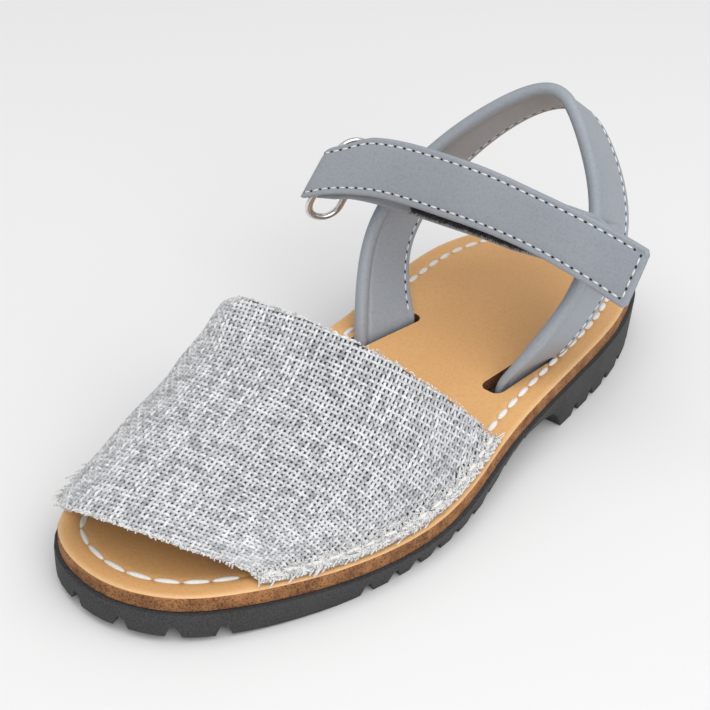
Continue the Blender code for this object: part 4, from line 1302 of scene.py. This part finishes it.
# %% Hand stitches round the footbed
TOE_PITCH = 0.0058
HEEL_PITCH = 0.0048
FLANGE_SEWN = 0.0017
toe_from, toe_to = (FRONT + share * LENGTH for share in VAMP[0][5:])
back_from, back_to = (FRONT + share * LENGTH for share in VAMP[2][5:])
sew_xy = edge_ring - edge_out * STITCH_INSET
sew = np.column_stack([sew_xy, bed_z(sew_xy[:, 1], STITCH_INSET) - 0.0002])
sew = np.roll(sew, -int(np.argmin(sew[:, 1])), axis=0)
if sew[len(sew) // 4, 0] < 0:
    sew = sew[::-1]
half = int(np.argmax(sew[:, 1]))
outer_sew, inner_sew = sew[:half + 1], sew[half:][::-1]
toe_line = np.vstack([inner_sew[inner_sew[:, 1] < toe_from + 0.004][::-1],
                      outer_sew[outer_sew[:, 1] < toe_to + 0.001]])
heel_line = np.vstack([outer_sew[outer_sew[:, 1] > back_to + 0.001],
                       inner_sew[inner_sew[:, 1] > back_from + 0.001][::-1]])
hand_rows = []
for line, pitch in ((toe_line, TOE_PITCH), (heel_line, HEEL_PITCH)):
    hand_rows.append(seam(line, np.tile([0.0, 0.0, 1.0], (len(line), 1)), pitch, pitch * 0.5))
# Each row of stitches says how much of the pitch shows, the thread's width and height, and how
# much its length varies
for name, rows, length, width, height, vary in (
        ("toe_hand_stitches", hand_rows[0], TOE_PITCH * 0.97, 0.00125, 0.0010, 0.05),
        ("heel_hand_stitches", hand_rows[1], HEEL_PITCH * 0.86, 0.00145, 0.0011, 0.06)):
    dress(beads(name, rows, HAND, length, width, height, vary), "insole_leather")
vamp_rows = []
s = np.linspace(0.01, 0.99, 120)
left, right = cloth_reach(s)
for a in (FLANGE_SEWN - left, right - FLANGE_SEWN):
    line, ups = on_cloth(s, a, np.full(len(s), 0.0004))
    vamp_rows += seam(line, ups, HEEL_PITCH, HEEL_PITCH * 0.5)
vamp_stitches = beads("vamp_hand_stitches", vamp_rows, HAND, HEEL_PITCH * 0.8, 0.0010, 0.0007, 0.08)
dress(vamp_stitches, "vamp_cloth")
print("hand stitches:", len(hand_rows[0]) + len(hand_rows[1]) + len(vamp_rows))

# %% Machine stitches on the straps
MACHINE_PITCH = 0.0026
END_INSET = 0.0013
threads = []
pricks = []


def sew_on(place, half_at, spots, face):
    """Sew along spots (k, w) on one face of a strip."""
    points = [place(k, w, face * half_at(w)) for k, w in spots]
    ups = [place(k, w, face * 0.002) - place(k, w, 0.0) for k, w in spots]
    threads.extend(seam(points, ups, MACHINE_PITCH, MACHINE_PITCH * 0.5, -0.00005))
    pricks.extend(seam(points, ups, MACHINE_PITCH, MACHINE_PITCH, 0.0001))


for face in (1, -1):
    sew_on(heel_place, heel_half, [(k, HEEL_SEWN) for k in range(6, len(heel_run) - 6)], face)
for w, from_k in ((TOP_SEWN, 4), (LOW_SEWN, len(back_line))):
    spots = [(k, w) for k in range(from_k, len(strap_line) - 2) if strap_run[-1] - strap_run[k] > 0.0014]
    for face in (1, -1):
        sew_on(instep_place, strap_half, spots, face)
end_k = int(np.argmin(np.abs(strap_run - (strap_run[-1] - END_INSET))))
for k in (end_k, 2, 12):
    for face in (1, -1):
        sew_on(instep_place, strap_half, [(k, w) for w in np.linspace(LOW_SEWN, TOP_SEWN, 12)], face)
for k in (3, 14, len(keeper_line) - 15, len(keeper_line) - 4):
    for face in (1, -1):
        sew_on(keeper_place, keeper_half, [(k, w) for w in np.linspace(-0.0036, 0.0036, 8)], face)
strap_thread = beads("strap_machine_stitches", threads, MACHINE, MACHINE_PITCH * 0.66,
                     0.00044, 0.00036, 0.06)
# These near-black beads are painted shade in the needle holes
needle_holes = beads("strap_needle_holes", pricks, NEEDLE, 0.00100, 0.00082, 0.00042, 0.1)
dress(strap_thread, "strap_leather")
dress(needle_holes, "strap_leather")
print("machine stitches:", len(threads), "needle holes:", len(pricks))

# %% [markdown]
# ## Floor, light and camera
#
# The shoe stands on a plain pale floor under wide soft light from above, so that its shadow is
# faint. The camera looks down from in front of the outer side, with the whole shoe in the frame.

# %% Floor
floor_mat = bpy.data.materials.new("pale floor")
floor_mat.use_nodes = True
floor_inputs = floor_mat.node_tree.nodes["Principled BSDF"].inputs
floor_inputs["Base Color"].default_value = (0.83, 0.83, 0.83, 1)
floor_inputs["Roughness"].default_value = 0.9
bpy.ops.mesh.primitive_plane_add(size=6.0, location=(0, 0, -0.0002))
floor = bpy.context.object
floor.name = "floor"
floor.data.materials.append(floor_mat)


# %% Light
def soft_light(name, place, size, power):
    """Square soft light that looks at the shoe."""
    data = bpy.data.lights.new(name, "AREA")
    data.size = size
    data.energy = power
    lamp = new_object(name, data)
    lamp.location = place
    lamp.rotation_euler = (Vector((0, 0, 0.03)) - Vector(place)).to_track_quat("-Z", "Y").to_euler()


soft_light("key light", (0.25, -0.15, 1.05), 1.4, 8.0)
soft_light("fill light", (0.95, -0.55, 0.55), 1.0, 5.5)
soft_light("left light", (-0.80, -0.70, 0.60), 1.0, 0.5)
world = bpy.data.worlds.new("studio")
bpy.context.scene.world = world
world.use_nodes = True
sky = world.node_tree.nodes["Background"].inputs
sky["Color"].default_value = (1, 1, 1, 1)
sky["Strength"].default_value = 0.53
bpy.context.scene.view_settings.view_transform = "Standard"

# %% Camera
HEADING = math.radians(132.1168)
PITCH = math.radians(-31.1971)
ROLL = math.radians(-0.1533)
LENS = 57.343
TURN_RIGHT = 0.0752
TURN_DOWN = 0.0190
ZOOM = 1.50
eye = Vector((0.19019 + MIDDLE_X, -0.26431, 0.22495))
level = Vector((math.sin(HEADING), -math.cos(HEADING), 0.0))
flat = Vector((math.cos(HEADING), math.sin(HEADING), 0.0))
look = flat * math.cos(PITCH) + Vector((0.0, 0.0, math.sin(PITCH)))
right = level * math.cos(ROLL) + level.cross(look) * math.sin(ROLL)
top = right.cross(look)
aim = (look + right * TURN_RIGHT - top * TURN_DOWN).normalized()
aim_right = (right - aim * right.dot(aim)).normalized()
aim_top = (top - aim * top.dot(aim) - aim_right * top.dot(aim_right)).normalized()
camera_data = bpy.data.cameras.new("camera")
camera_data.lens = LENS * ZOOM
camera_data.sensor_width = 36.0
camera = new_object("camera", camera_data)
turn = Matrix((aim_right, aim_top, -aim)).transposed().to_4x4()
camera.matrix_world = Matrix.Translation(eye) @ turn
bpy.context.scene.camera = camera
print("camera looks down by degrees:", round(math.degrees(math.asin(-aim.z)), 1))
